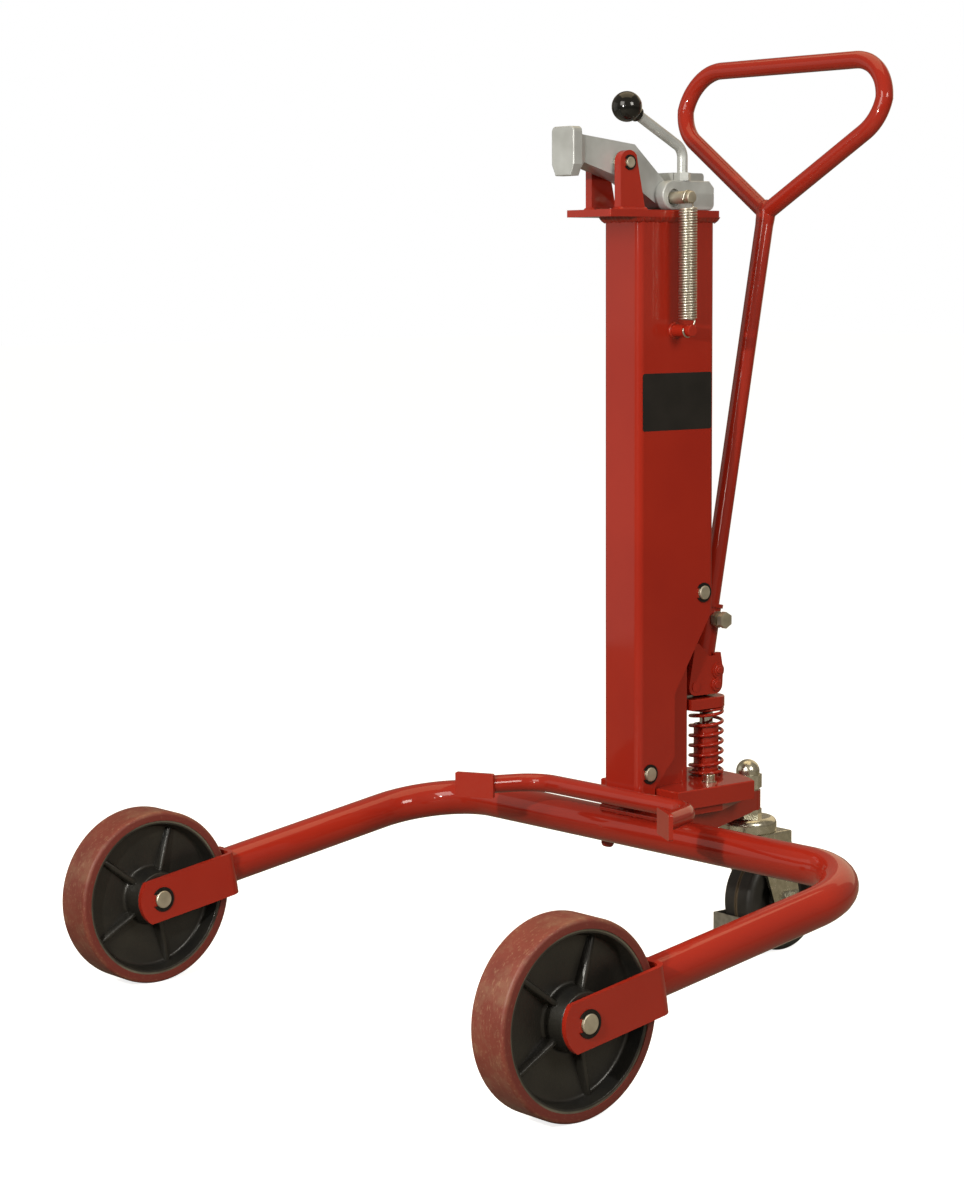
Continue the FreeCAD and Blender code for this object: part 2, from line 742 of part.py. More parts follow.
def jaw_arm():
    """Cranked arm with a round heel on the cam pin and a broad nose that hooks over the drum's rim."""
    knee = Vector(0, jaw_pin_y + arm_knee, plate_top + arm_knee_top)
    low = Vector(0, jaw_pin_y + arm_elbow, plate_top + arm_low)
    heel = Vector(0, cam_pin_y, cam_pin_z)

    def tangent_point(outside, turn_sign):
        away = outside - heel
        swing = turn_sign * math.acos(arm_heel_r / away.Length)
        angle = math.atan2(away.z, away.y) + swing
        return heel + Vector(0, math.cos(angle), math.sin(angle)) * arm_heel_r

    upper = tangent_point(knee, -1)
    lower = tangent_point(low, 1)
    opposite = (heel - (upper + lower) / 2)
    if opposite.Length < 1e-6:
        opposite = Vector(0, 1, -1)
    bottom = heel + opposite.normalize() * arm_heel_r
    shift = Vector(-arm_w / 2, 0, 0)
    front_top = Vector(0, arm_front_y, plate_top + arm_front_top)
    front_low = Vector(0, arm_front_y, plate_top + arm_front_low)
    outline = Part.Wire([
        Part.makePolygon([p + shift for p in (lower, low, front_low, front_top, knee, upper)]),
        Part.Arc(upper + shift, bottom + shift, lower + shift).toShape()])
    arm = Part.Face(outline).extrude(ACROSS * arm_w)
    nose_z = plate_top + nose_low
    half_w = nose_w / 2
    top_z = nose_z + nose_h
    front = Part.makePolygon([Vector(x, arm_front_y - nose_t, z) for x, z in (
        (half_w - nose_chamfer_w, nose_z), (half_w, nose_z + nose_chamfer_h), (half_w, top_z), (-half_w, top_z),
        (-half_w, nose_z + nose_chamfer_h), (nose_chamfer_w - half_w, nose_z), (half_w - nose_chamfer_w, nose_z))])
    nose = Part.Face(front).extrude(Vector(0, nose_t, 0))
    nose = rounded(nose, nose_corner_r, lambda e: runs_along(e, Vector(0, 1, 0)) and e.CenterOfMass.z > top_z - 0.1)
    nose = nose.makeFillet(1.5, [e for e in nose.Edges if e.CenterOfMass.y < arm_front_y - nose_t + 0.1])
    neck_z = plate_top + arm_front_low - nose_taper
    neck = Part.makeLoft([Part.makePolygon([Vector(x, y, z) for x, z in (
        (-w, low_z), (w, low_z), (w, high_z), (-w, high_z), (-w, low_z))]) for y, w, low_z, high_z in (
        (arm_front_y, half_w - 1, neck_z, top_z - nose_corner_r),
        (arm_front_y + nose_taper, arm_w / 2, neck_z + nose_taper, plate_top + arm_front_top - nose_taper))], True, True)
    nose = nose.fuse(neck)
    arm = arm.fuse(nose)
    for diameter, y, z in ((jaw_pin_d, jaw_pin_y, jaw_pin_z), (cam_pin_d, cam_pin_y, cam_pin_z)):
        arm = arm.cut(cross_bar(diameter + 2 * pin_fit, y, z, -mast_w, mast_w))
    return arm


def cam_pin():
    """Pin through the arm's heel and the cam, run out on one side to carry the spring."""
    pin = cross_bar(cam_pin_d, cam_pin_y, cam_pin_z, -cam_outer - 1, cam_outer + cam_pin_reach)
    pin = pin.makeChamfer(1.0, [e for e in pin.Edges if isinstance(e.Curve, Part.Circle)])
    groove = cross_bar(2 * cam_pin_d, cam_pin_y, cam_pin_z, spring_x - spring_groove_w / 2,
                       spring_x + spring_groove_w / 2)
    return pin.cut(groove.cut(cross_bar(cam_pin_d - 3, cam_pin_y, cam_pin_z, 0, spring_x + cam_pin_reach)))


def cam_block():
    """Two cheeks round the arm's heel and a bridge behind it; its long end lifts the heel when turned."""
    mid_z = (cam_bottom + cam_top) / 2
    front_r = cam_h / 2
    front_y = cam_pin_y - 1
    outline = [(front_y, cam_bottom), (cam_rear, cam_bottom), (cam_rear, cam_top - cam_heel_r),
               (cam_rear - cam_heel_r, cam_top), (front_y, cam_top)]
    cheek = side_plate(outline, cam_inner, cam_outer)
    cheek = rounded(cheek, cam_heel_r, lambda e: runs_along(e, ACROSS) and e.CenterOfMass.y > cam_rear - 0.1
                    and e.CenterOfMass.z < cam_bottom + 0.1)
    cheek = cheek.fuse(cross_bar(2 * front_r, front_y, mid_z, cam_inner, cam_outer)).removeSplitter()
    cheek = cheek.makeFillet(cam_edge_r, [e for e in cheek.Edges if e.BoundBox.XMin > cam_outer - 0.01])
    cheek = cheek.cut(cross_bar(pin_recess_d, cam_pin_y, cam_pin_z, cam_outer - pin_recess, cam_outer))
    far_cheek = cheek.mirror(Vector(0, 0, 0), ACROSS)
    bridge_front = cam_pin_y + arm_heel_r + 3 * face_gap
    bridge_rear = cam_rear - cam_heel_r
    bridge = block(-cam_inner, cam_inner, bridge_front, bridge_rear, cam_bottom + cam_heel_r, cam_top)
    ridge = block(-cam_ridge_w / 2, cam_ridge_w / 2, bridge_front, cam_rear, cam_bottom + cam_heel_r,
                  cam_top + cam_bridge_h)
    ridge = rounded(ridge, cam_heel_r / 2, lambda e: runs_along(e, ACROSS) and e.CenterOfMass.y > cam_rear - 0.1)
    cam = cheek.fuse([far_cheek, bridge, ridge])
    cam = cam.cut(cross_bar(cam_pin_d + 2 * pin_fit, cam_pin_y, cam_pin_z, -mast_w, mast_w))
    lever_x = (cam_inner + cam_outer) / 2
    return cam.cut(upright(lever_stud_d + 2 * pin_fit, lever_foot_y, cam_top - cam_h / 2, cam_top, lever_x))


def lever_route():
    x = (cam_inner + cam_outer) / 2
    lean = math.radians(lever_lean)
    foot = Vector(x, lever_foot_y, cam_top + lever_nut_h)
    corner = Vector(x, lever_foot_y, cam_top + lever_rise - cam_h / 2)
    tip = corner + Vector(0, -math.sin(lean), math.cos(lean)) * lever_length
    return foot, corner, tip


def ball_lever_rod():
    """Bent rod with a stud that screws into the cam."""
    foot, corner, tip = lever_route()
    stud = upright(lever_stud_d, foot.y, cam_top - cam_h / 2 + 1, foot.z, foot.x)
    return swept_rod(bent_path([foot, corner, tip], [lever_bend_r]), lever_rod_d).fuse(stud)


def lever_nut():
    foot = lever_route()[0]
    nut = hexagon(lever_nut_af, Vector(foot.x, foot.y, cam_top), UP, lever_nut_h)
    return nut.cut(upright(lever_stud_d + 2 * pin_fit, foot.y, cam_top, cam_top + lever_nut_h, foot.x))


def ball_knob():
    """Ball with a short neck, screwed on the lever's end."""
    foot, corner, tip = lever_route()
    along = (tip - corner).normalize()
    centre = tip + along * (knob_d * 0.15)
    ball = Part.makeSphere(knob_d / 2, centre)
    neck = Part.makeCylinder(lever_rod_d / 2 + 2.5, knob_d / 2 + 2.5, centre, along * -1)
    bore = Part.makeCylinder(lever_rod_d / 2 + pin_fit, knob_d, tip, along * -1)
    return ball.fuse(neck).removeSplitter().cut(bore)


def jaw_spring():
    """Extension spring: a hook over the cam pin's groove, close coils, and a hook under the anchor pin."""
    mean_r = (jaw_coil_d - jaw_wire_d) / 2
    hook_r = (cam_pin_d - 3) / 2 + face_gap + jaw_wire_d / 2
    x, y = spring_x, cam_pin_y
    rise = 1.7 * hook_r
    low = anchor_z + rise
    pitch = (cam_pin_z - rise - low) / jaw_coils
    stops = coil_points(x, y, mean_r, low, pitch, jaw_coils)
    edges = []
    tail = Vector(x, y - hook_r, anchor_z + jaw_wire_d)
    edges.append(Part.LineSegment(tail, Vector(x, y - hook_r, anchor_z)).toShape())
    edges.append(Part.Arc(Vector(x, y - hook_r, anchor_z), Vector(x, y, anchor_z - hook_r),
                          Vector(x, y + hook_r, anchor_z)).toShape())
    edges += biarc(Vector(x, y + hook_r, anchor_z), UP, *stops[0])
    edges += joined_arcs(stops)
    edges += biarc(*stops[-1], Vector(x, y + hook_r, cam_pin_z), UP)
    edges.append(Part.Arc(Vector(x, y + hook_r, cam_pin_z), Vector(x, y, cam_pin_z + hook_r),
                          Vector(x, y - hook_r, cam_pin_z)).toShape())
    edges.append(Part.LineSegment(Vector(x, y - hook_r, cam_pin_z),
                                  Vector(x, y - hook_r, cam_pin_z - jaw_wire_d)).toShape())
    wire = Part.Wire(edges)
    print("jaw_spring least gap to itself, mm:", round(least_self_gap(wire, jaw_wire_d), 3))
    return swept_rod(wire, jaw_wire_d, wire_sides)


def pump_spring():
    """Compression spring round the pump barrel, standing on the block under the spring seat."""
    mean_r = (pump_coil_d - pump_wire_d) / 2
    rise = pump_wire_d * 2.8
    low = block_top + rise
    pitch = (seat_bottom - rise - low) / pump_coils
    stops = coil_points(0, pump_y, mean_r, low, pitch, pump_coils)
    lead = math.radians(45)
    aside = Vector(mean_r * math.sin(lead), 0, 0)
    foot = Vector(0, pump_y + mean_r * math.cos(lead), block_top) + aside
    head = Vector(0, pump_y + mean_r * math.cos(lead), seat_bottom) - aside
    foot_top = foot + UP * pump_wire_d
    head_low = head - UP * pump_wire_d
    edges = [Part.LineSegment(foot, foot_top).toShape()]
    edges += biarc(foot_top, UP, *stops[0])
    edges += joined_arcs(stops)
    edges += biarc(*stops[-1], head_low, UP)
    edges.append(Part.LineSegment(head_low, head).toShape())
    wire = Part.Wire(edges)
    print("pump_spring least gap to itself, mm:", round(least_self_gap(wire, pump_wire_d), 3))
    return swept_rod(wire, pump_wire_d, wire_sides)


def spring_anchor():
    """Pin welded to the mast's side, grooved for the spring's lower hook."""
    start = mast_w / 2
    pin = cross_bar(anchor_d, cam_pin_y, anchor_z, start, start + anchor_reach)
    pin = pin.makeChamfer(1.0, [e for e in pin.Edges if e.BoundBox.XMin > start + 1
                                and isinstance(e.Curve, Part.Circle)])
    groove = cross_bar(2 * anchor_d, cam_pin_y, anchor_z, spring_x - spring_groove_w / 2,
                       spring_x + spring_groove_w / 2)
    return pin.cut(groove.cut(cross_bar(cam_pin_d - 3, cam_pin_y, anchor_z, 0, spring_x + anchor_reach)))


def pad_frame(side):
    """The centre of a pad's drum face, and the way that face looks."""
    angle = math.radians(pad_angle)
    return Vector(side * pad_x, pad_y, bar_z), Vector(-side * math.sin(angle), -math.cos(angle), 0)


def drum_bar():
    """Round bar across the mast's front, bent forwards and out at both ends to carry the pads."""
    bar_y = -mast_depth / 2 - bar_d / 2
    ends = []
    for side in (-1, 1):
        centre, look = pad_frame(side)
        corner = Vector(side * bar_corner_x, bar_y, bar_z)
        ends.append((centre + (centre - corner).normalize() * bar_d, corner))
    route = [ends[0][0], ends[0][1], ends[1][1], ends[1][0]]
    bar = swept_rod(bent_path(route, [bar_bend_r, bar_bend_r]), bar_d)
    for side in (-1, 1):
        beyond = block(-pad_w, pad_w, -pad_w, pad_t, -pad_w, pad_w)
        beyond.rotate(Vector(0, 0, 0), UP, -side * pad_angle)
        beyond.translate(pad_frame(side)[0])
        bar = bar.cut(beyond)
    return bar


def bar_pads():
    """Flat pads that bear on the drum, square to its radius."""
    pads = []
    for side in (-1, 1):
        centre, look = pad_frame(side)
        pad = block(-pad_w / 2, pad_w / 2, 0, pad_t, -pad_h / 2, pad_h / 2)
        pad = rounded(pad, 2.0, lambda e: runs_along(e, Vector(0, 1, 0)))
        pad.rotate(Vector(0, 0, 0), UP, -side * pad_angle)
        pad.translate(centre)
        pads.append(pad)
    return Part.makeCompound(pads)


def pump_barrel():
    """Pump barrel screwed into the block, with a lip round its mouth."""
    body = upright(barrel_d, pump_y, block_top, block_top + barrel_h)
    body = body.cut(upright(barrel_d - 2 * barrel_lip, pump_y, block_top + barrel_h - barrel_lip,
                            block_top + barrel_h))
    return body.cut(upright(plunger_d + 2 * pin_fit, pump_y, block_top + barrel_lip, block_top + barrel_h))


def plunger():
    return upright(plunger_d, pump_y, seat_bottom - plunger_h, seat_bottom)


def spring_seat():
    """Head on the plunger that holds the spring down and takes the lever's roller."""
    front = column_depth / 2 + 2
    slab = block(-seat_r, seat_r, front, pump_y, seat_bottom, seat_top)
    seat = slab.fuse(upright(2 * seat_r, pump_y, seat_bottom, seat_top)).removeSplitter()
    return seat.makeFillet(1.5, [e for e in seat.Edges if e.BoundBox.ZMin > seat_top - 0.1])


def handle_point(z):
    """A point on the handle shaft's centre line."""
    return Vector(0, handle_foot_y + (z - handle_foot_z) * math.tan(math.radians(handle_tilt)), z)


def pump_lever():
    """Cast lever: two cheeks on the pivot with the roller between them, and the handle's socket above."""
    low = handle_point(handle_foot_z)
    high = handle_point(socket_top_z)
    socket = round_bar(socket_d, low, high)
    front = pivot_y - pivot_boss_r
    apex_z = pivot_z + cheek_apex_h
    saddle_z = rear_boss_z + 2 * rear_boss_r
    outline = [(front, pivot_z), (cheek_apex_y - 3, apex_z), (cheek_apex_y + 3, apex_z),
               (handle_point(saddle_z).y - 8, saddle_z), (handle_point(saddle_z).y + 2, saddle_z),
               (handle_point(lug_top_z).y, lug_top_z), (lug_rear_y, lug_top_z),
               (rear_boss_y + rear_boss_r, rear_boss_z), (roller_y + roller_boss_r, roller_z),
               (roller_y, roller_z - roller_boss_r), (pivot_y, pivot_z - pivot_boss_r), (pivot_y, pivot_z)]
    lever = socket
    for side in (-1, 1):
        inner, outer = side * cheek_inner, side * cheek_outer
        cheek = side_plate(outline, inner, outer)
        for y, z, radius in ((pivot_y, pivot_z, pivot_boss_r), (roller_y, roller_z, roller_boss_r)):
            cheek = cheek.fuse(cross_bar(2 * radius, y, z, inner, outer))
        lever = lever.fuse(cheek)
    yoke_low = roller_z + roller_d / 2 + 3
    yoke = side_plate([(pivot_y + pivot_boss_r + 4, yoke_low), (handle_point(saddle_z).y - 8, saddle_z),
                       (lug_rear_y - 2, saddle_z), (rear_boss_y + rear_boss_r - 2, rear_boss_z + 2),
                       (rear_boss_y + rear_boss_r - 4, yoke_low)], -cheek_inner, cheek_inner)
    lever = lever.fuse(yoke)
    lever = lever.fuse(round_bar(collar_d, high - (high - low).normalize() * collar_h, high))
    for side in (-1, 1):
        lever = lever.fuse(cross_bar(2 * rear_boss_r, rear_boss_y, rear_boss_z, side * cheek_inner,
                                     side * (cheek_outer + 1.5)))
    lever = lever.cut(round_bar(handle_d + 2 * pin_fit, low + (high - low).normalize() * 6,
                                high + (high - low).normalize()))
    for diameter, y, z in ((pivot_d, pivot_y, pivot_z), (roller_axle_d, roller_y, roller_z)):
        lever = lever.cut(cross_bar(diameter + 2 * pin_fit, y, z, -mast_w, mast_w))
    bolt = handle_point(clamp_z)
    return lever.cut(cross_bar(clamp_bolt_d + 2 * pin_fit, bolt.y, bolt.z, 0, mast_w))


def handle_tube():
    """Shaft in the lever's socket with a D-shaped loop at the top."""
    low = handle_point(handle_foot_z)
    along = (handle_point(socket_top_z) - low).normalize()
    foot = low + along * 6.5
    joint = handle_point(handle_joint_z)
    top = handle_point(loop_top_z)
    half = loop_w / 2
    branch = math.radians(loop_branch_angle)
    shoulder = along * (half * math.tan(branch)) + joint
    route = [joint, shoulder + ACROSS * half, top + ACROSS * half, top - ACROSS * half,
             shoulder - ACROSS * half, joint]
    path = bent_path(route, [loop_shoulder_r] * 4)
    shaft = round_bar(handle_d, foot, joint)
    handle = shaft.fuse(swept_rod(path, handle_d)).fuse(Part.makeSphere(handle_d / 2, joint)).removeSplitter()
    bore = round_bar(handle_d - 2 * handle_wall, foot, joint - along * handle_d)
    return handle.cut(bore)


def clamp_bolt():
    """Clamp screw through the socket's wall, its end against the handle."""
    at = handle_point(clamp_z)
    nut_x = socket_d / 2
    head_x = nut_x + clamp_nut_h + clamp_gap
    shank = cross_bar(clamp_bolt_d, at.y, at.z, handle_d / 2 + pin_fit, head_x)
    head = hexagon(clamp_nut_af, Vector(head_x, at.y, at.z), ACROSS, clamp_head_h)
    return shank.fuse(head).removeSplitter()


def clamp_nut():
    at = handle_point(clamp_z)
    nut = hexagon(clamp_nut_af, Vector(socket_d / 2, at.y, at.z), ACROSS, clamp_nut_h)
    return nut.cut(cross_bar(clamp_bolt_d + 2 * pin_fit, at.y, at.z, 0, mast_w))


def acorn_nut():
    """Domed nut on the caster's stem."""
    base = boss_top + stem_washer_t
    dome_r = acorn_dome_d / 2
    nut = hexagon(acorn_af, Vector(0, stem_y, base), UP, acorn_hex_h)
    nut = nut.fuse(upright(acorn_dome_d, stem_y, base, base + acorn_h - dome_r))
    nut = nut.fuse(Part.makeSphere(dome_r, Vector(0, stem_y, base + acorn_h - dome_r)))
    return nut.removeSplitter().cut(upright(stem_d + 2 * pin_fit, stem_y, base, base + acorn_h - dome_r))


def caster_stem():
    base = boss_top + stem_washer_t
    return upright(stem_d, stem_y, yoke_top_z - yoke_t - face_gap, base + acorn_h - acorn_dome_d / 2 - 1)


def stem_washer():
    washer = upright(boss_d - 3, stem_y, boss_top, boss_top + stem_washer_t)
    return washer.cut(upright(stem_d + 2 * pin_fit, stem_y, boss_top, boss_top + stem_washer_t))


def jam_nut():
    nut = hexagon(acorn_af, Vector(0, stem_y, jam_nut_bottom), UP, jam_nut_h)
    return nut.cut(upright(stem_d + 2 * pin_fit, stem_y, jam_nut_bottom, jam_nut_bottom + jam_nut_h))


def bearing_cap():
    """Pressed cap over the swivel bearing."""
    top = cap_bottom + cap_h
    cap = upright(cap_d, stem_y, cap_bottom, top)
    cap = cap.makeFillet(cap_shoulder_r, [e for e in cap.Edges if e.BoundBox.ZMin > top - 0.1])
    cap = cap.makeFillet(1.5, [e for e in cap.Edges if e.BoundBox.ZMax < cap_bottom + 0.1])
    return cap.cut(upright(stem_d + 2 * pin_fit, stem_y, cap_bottom, top))


def swivelled(shape):
    """Turn a caster piece, drawn trailing straight back, to the angle it stands at."""
    shape.rotate(Vector(0, stem_y, 0), UP, caster_turn)
    return shape


def caster_yoke():
    """Pressed yoke: a crown under the bearing cap and two legs down to the axle."""
    axle_y = stem_y + caster_trail
    skirt_low = yoke_top_z - yoke_skirt
    front, rear = stem_y - yoke_outer, stem_y + yoke_rear
    yoke = block(-yoke_outer, yoke_outer, front, rear, skirt_low, yoke_top_z)
    yoke = rounded(yoke, yoke_front_r, lambda e: runs_along(e, UP) and e.CenterOfMass.y < stem_y)
    yoke = rounded(yoke, yoke_t / 2, lambda e: e.BoundBox.ZMin > yoke_top_z - 0.1)
    inside = block(-yoke_inner, yoke_inner, front + yoke_t, rear, skirt_low, yoke_top_z - yoke_t)
    yoke = yoke.cut(rounded(inside, yoke_front_r - yoke_t, lambda e: runs_along(e, UP) and e.CenterOfMass.y < stem_y))
    leg_front = stem_y - yoke_outer / 3
    leg = side_plate([(leg_front, skirt_low + 1), (rear, skirt_low + 1), (axle_y + leg_boss_r, caster_r),
                      (axle_y, caster_r - leg_boss_r), (axle_y - 1.7 * leg_boss_r, caster_r)], yoke_inner, yoke_outer)
    leg = leg.fuse(cross_bar(2 * leg_boss_r, axle_y, caster_r, yoke_inner, yoke_outer))
    far_leg = leg.copy()
    far_leg.translate(ACROSS * -(yoke_inner + yoke_outer))
    yoke = yoke.fuse([leg, far_leg]).removeSplitter()
    yoke = yoke.cut(cross_bar(caster_axle_d + 2 * pin_fit, axle_y, caster_r, -mast_w, mast_w))
    yoke = yoke.cut(upright(stem_d + 2 * pin_fit, stem_y, 0, cap_bottom))
    return swivelled(yoke)


def wheel_guard():
    """Folded sheet in front of the caster wheel, held by its axle."""
    axle_y = stem_y + caster_trail
    inner = yoke_outer
    outer = inner + guard_t
    front = stem_y - guard_front
    guard = block(-outer, outer, front - guard_t, front, guard_low, guard_top)
    arm = side_plate([(front, guard_low), (axle_y - 25, guard_low + 6), (axle_y + 12, caster_r - 6),
                      (axle_y + 12, caster_r + 12), (axle_y - 12, caster_r + 12), (axle_y - 24, guard_top),
                      (front, guard_top)], inner, outer)
    far_arm = arm.copy()
    far_arm.translate(ACROSS * -(inner + outer))
    guard = guard.fuse([arm, far_arm]).removeSplitter()
    return swivelled(guard.cut(cross_bar(caster_axle_d + 2 * pin_fit, axle_y, caster_r, -mast_w, mast_w)))


def caster_axle():
    """Bolt through yoke and guard, with a nut on each end."""
    axle_y = stem_y + caster_trail
    seat = yoke_outer + guard_t
    axle = cross_bar(caster_axle_d, axle_y, caster_r, -seat - caster_nut_h - 3, seat + caster_nut_h + 3)
    return swivelled(axle)


def caster_nuts():
    axle_y = stem_y + caster_trail
    seat = yoke_outer + guard_t
    nuts = []
    for side in (-1, 1):
        nut = hexagon(caster_nut_af, Vector(side * seat, axle_y, caster_r), ACROSS * side, caster_nut_h)
        nuts.append(nut.cut(cross_bar(caster_axle_d + 2 * pin_fit, axle_y, caster_r, -mast_w, mast_w)))
    return swivelled(Part.makeCompound(nuts))


def caster_wheel():
    """Grooved tyre on a plain core with a boss each side."""
    centre = Vector(0, stem_y + caster_trail, caster_r)
    half = caster_wheel_w / 2
    rim = caster_r - caster_tyre_t
    start = centre - ACROSS * half
    tyre = Part.makeCylinder(caster_r, caster_wheel_w, start, ACROSS)
    tyre = tyre.makeFillet(caster_shoulder_r, [e for e in tyre.Edges if isinstance(e.Curve, Part.Circle)])
    groove = cross_bar(3 * caster_r, centre.y, centre.z, -caster_groove_w / 2, caster_groove_w / 2)
    tyre = tyre.cut(groove.cut(cross_bar(2 * (caster_r - caster_groove), centre.y, centre.z, -half, half)))
    tyre = tyre.cut(Part.makeCylinder(rim, caster_wheel_w, start, ACROSS))
    bore = caster_axle_d / 2 + pin_fit
    boss = half + yoke_gap
    side = [(rim, half - 2), (rim - 5, half - 2), (rim - 9, half - 9), (20, half - 9), (17, boss), (bore, boss)]
    core = ring_turned(side + [(r, -h) for r, h in reversed(side)], centre, ACROSS)
    return swivelled(tyre), swivelled(core)


def release_valve():
    """Valve spindle in the block's far side, with the hanging lever that lets the ram down."""
    z = block_top - block_t / 2
    wall = -block_w / 2
    hub_x = wall - release_gap
    spindle = cross_bar(valve_d, valve_y, z, wall + valve_reach - 1, hub_x - release_t - 2)
    arm = block(hub_x - release_t, hub_x, -release_w / 2, release_w / 2, -release_l, 0)
    arm = rounded(arm, release_w / 2.2, lambda e: runs_along(e, ACROSS) and e.CenterOfMass.z < -1)
    arm = arm.fuse(cross_bar(valve_hub_d, 0, 0, hub_x - release_t, hub_x))
    arm.rotate(Vector(0, 0, 0), ACROSS, -release_lean)
    arm.translate(Vector(0, valve_y, z))
    return spindle.fuse(arm).removeSplitter()


pieces = {}
for side, name in ((1, "left"), (-1, "right")):
    tyre, core, bearings = front_wheel(side)
    pieces["tyre_" + name] = tyre
    pieces["wheel_core_" + name] = core
    pieces["wheel_bearings_" + name] = bearings
    pieces["fork_" + name] = front_fork(side)
    axle = grooved_pin(axle_d, -axle_reach, wheel_r, fork_outer, axle_end)
    axle.translate(ACROSS * (side * half_track))
    pieces["axle_" + name] = axle

axle_clips = []
for wheel_side in (-1, 1):
    for face in (-1, 1):
        ring = clip(axle_d, -axle_reach, wheel_r, face * (fork_outer + pin_fit * 1.5), face)
        ring.translate(ACROSS * (wheel_side * half_track))
        axle_clips.append(ring)
pieces["axle_clips"] = Part.makeCompound(axle_clips)

pieces["base_tube"] = base_tube(tube_d).cut(base_tube(tube_d - 2 * tube_wall))
pieces["base_bracket"] = base_bracket()
pieces["pump_block"] = pump_block()
pieces["block_screws"] = block_screws()
pieces["column"] = column()
pieces["ram_cylinder"] = ram_cylinder()
pieces["pump_barrel"] = pump_barrel()
pieces["lever_pivot_pin"] = cross_bar(pivot_d, pivot_y, pivot_z, -cheek_outer - 1, cheek_outer + 1)
pieces["release_valve"] = release_valve()

pieces["mast_tube"] = mast_tube()
pieces["top_plate"] = rounded(block(-plate_w / 2, plate_w / 2, -plate_front, mast_depth / 2, plate_under, plate_top),
                              2.0, lambda e: runs_along(e, UP))
pieces["jaw_ears"] = jaw_ears()
pieces["jaw_spacers"] = jaw_spacers()
pieces["jaw_pivot_pin"] = grooved_pin(jaw_pin_d, jaw_pin_y, jaw_pin_z, ear_outer, jaw_pin_end)
pieces["guide_pins"] = Part.makeCompound([
    grooved_pin(guide_pin_d, guide_y, upper_guide_z, mast_w / 2, guide_pin_end),
    grooved_pin(guide_pin_d, -guide_y, lower_guide_z, mast_w / 2, guide_pin_end)])
mast_clips = []
for face in (-1, 1):
    mast_clips.append(clip(jaw_pin_d, jaw_pin_y, jaw_pin_z, face * (ear_outer + pin_fit * 1.5), face))
    for y, z in ((guide_y, upper_guide_z), (-guide_y, lower_guide_z)):
        mast_clips.append(clip(guide_pin_d, y, z, face * (mast_w / 2 + pin_fit * 1.5), face))
pieces["mast_clips"] = Part.makeCompound(mast_clips)
pieces["upper_guide_roller"] = guide_roller(guide_y, upper_guide_z)
pieces["lower_guide_roller"] = guide_roller(-guide_y, lower_guide_z)
pieces["drum_bar"] = drum_bar()
pieces["bar_pads"] = bar_pads()
pieces["spring_anchor"] = spring_anchor()
pieces["ram_rod"] = ram_rod()

pieces["jaw_arm"] = jaw_arm()
pieces["cam_pin"] = cam_pin()
pieces["cam_block"] = cam_block()
pieces["ball_lever_rod"] = ball_lever_rod()
pieces["lever_nut"] = lever_nut()
pieces["ball_knob"] = ball_knob()
pieces["jaw_spring"] = jaw_spring()

pieces["pump_lever"] = pump_lever()
pieces["handle_tube"] = handle_tube()
pieces["clamp_bolt"] = clamp_bolt()
pieces["clamp_nut"] = clamp_nut()
pieces["roller_axle"] = cross_bar(roller_axle_d, roller_y, roller_z, -cheek_outer - 2, cheek_outer + 2)
pump_roller = cross_bar(roller_d, roller_y, roller_z, -lug_w / 2, lug_w / 2)
pieces["pump_roller"] = pump_roller.cut(cross_bar(roller_axle_d + 2 * pin_fit, roller_y, roller_z, -lug_w, lug_w))
pieces["plunger"] = plunger()
pieces["spring_seat"] = spring_seat()
pieces["pump_spring"] = pump_spring()

pieces["caster_stem"] = caster_stem()
pieces["acorn_nut"] = acorn_nut()
pieces["stem_fasteners"] = Part.makeCompound([stem_washer(), jam_nut()])
pieces["bearing_cap"] = bearing_cap()
pieces["caster_yoke"] = caster_yoke()
pieces["wheel_guard"] = wheel_guard()
pieces["caster_axle"] = caster_axle()
pieces["caster_nuts"] = caster_nuts()
pieces["caster_tyre"], pieces["caster_core"] = caster_wheel()

os.makedirs("parts", exist_ok=True)
for name, shape in pieces.items():
    placed = shape.copy()
    placed.translate(Vector(0, mast_y, 0))
    placed.exportStep("parts/" + name + ".step")
print(len(pieces), "pieces, mast centre line at y =", round(mast_y, 2))
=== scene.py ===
import bpy
import bmesh
import math
from mathutils import Matrix, Vector


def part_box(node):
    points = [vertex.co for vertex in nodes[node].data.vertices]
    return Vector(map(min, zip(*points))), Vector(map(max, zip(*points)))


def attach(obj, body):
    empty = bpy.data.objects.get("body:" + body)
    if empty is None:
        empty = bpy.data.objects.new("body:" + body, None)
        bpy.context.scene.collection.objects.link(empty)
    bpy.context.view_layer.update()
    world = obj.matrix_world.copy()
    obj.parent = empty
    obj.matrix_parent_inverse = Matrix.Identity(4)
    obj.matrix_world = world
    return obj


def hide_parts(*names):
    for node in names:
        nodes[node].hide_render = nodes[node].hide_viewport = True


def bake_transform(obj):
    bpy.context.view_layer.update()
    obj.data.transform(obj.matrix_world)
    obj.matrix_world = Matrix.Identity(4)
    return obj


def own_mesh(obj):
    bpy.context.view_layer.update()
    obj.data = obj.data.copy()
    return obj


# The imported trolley. Points are written in millimetres with y counted from the mast's centre line,
# which the mast's own box gives, and turned into metres in the frame.
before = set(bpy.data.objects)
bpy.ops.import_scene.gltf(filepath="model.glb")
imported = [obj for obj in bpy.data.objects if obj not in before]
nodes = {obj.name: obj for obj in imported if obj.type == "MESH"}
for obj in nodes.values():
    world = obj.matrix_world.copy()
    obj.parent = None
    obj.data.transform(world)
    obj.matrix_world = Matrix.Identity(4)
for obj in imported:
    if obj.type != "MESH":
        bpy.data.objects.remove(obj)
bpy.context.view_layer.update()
mast_low, mast_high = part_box("mast_tube")
mast_y = (mast_low.y + mast_high.y) / 2 * 1000


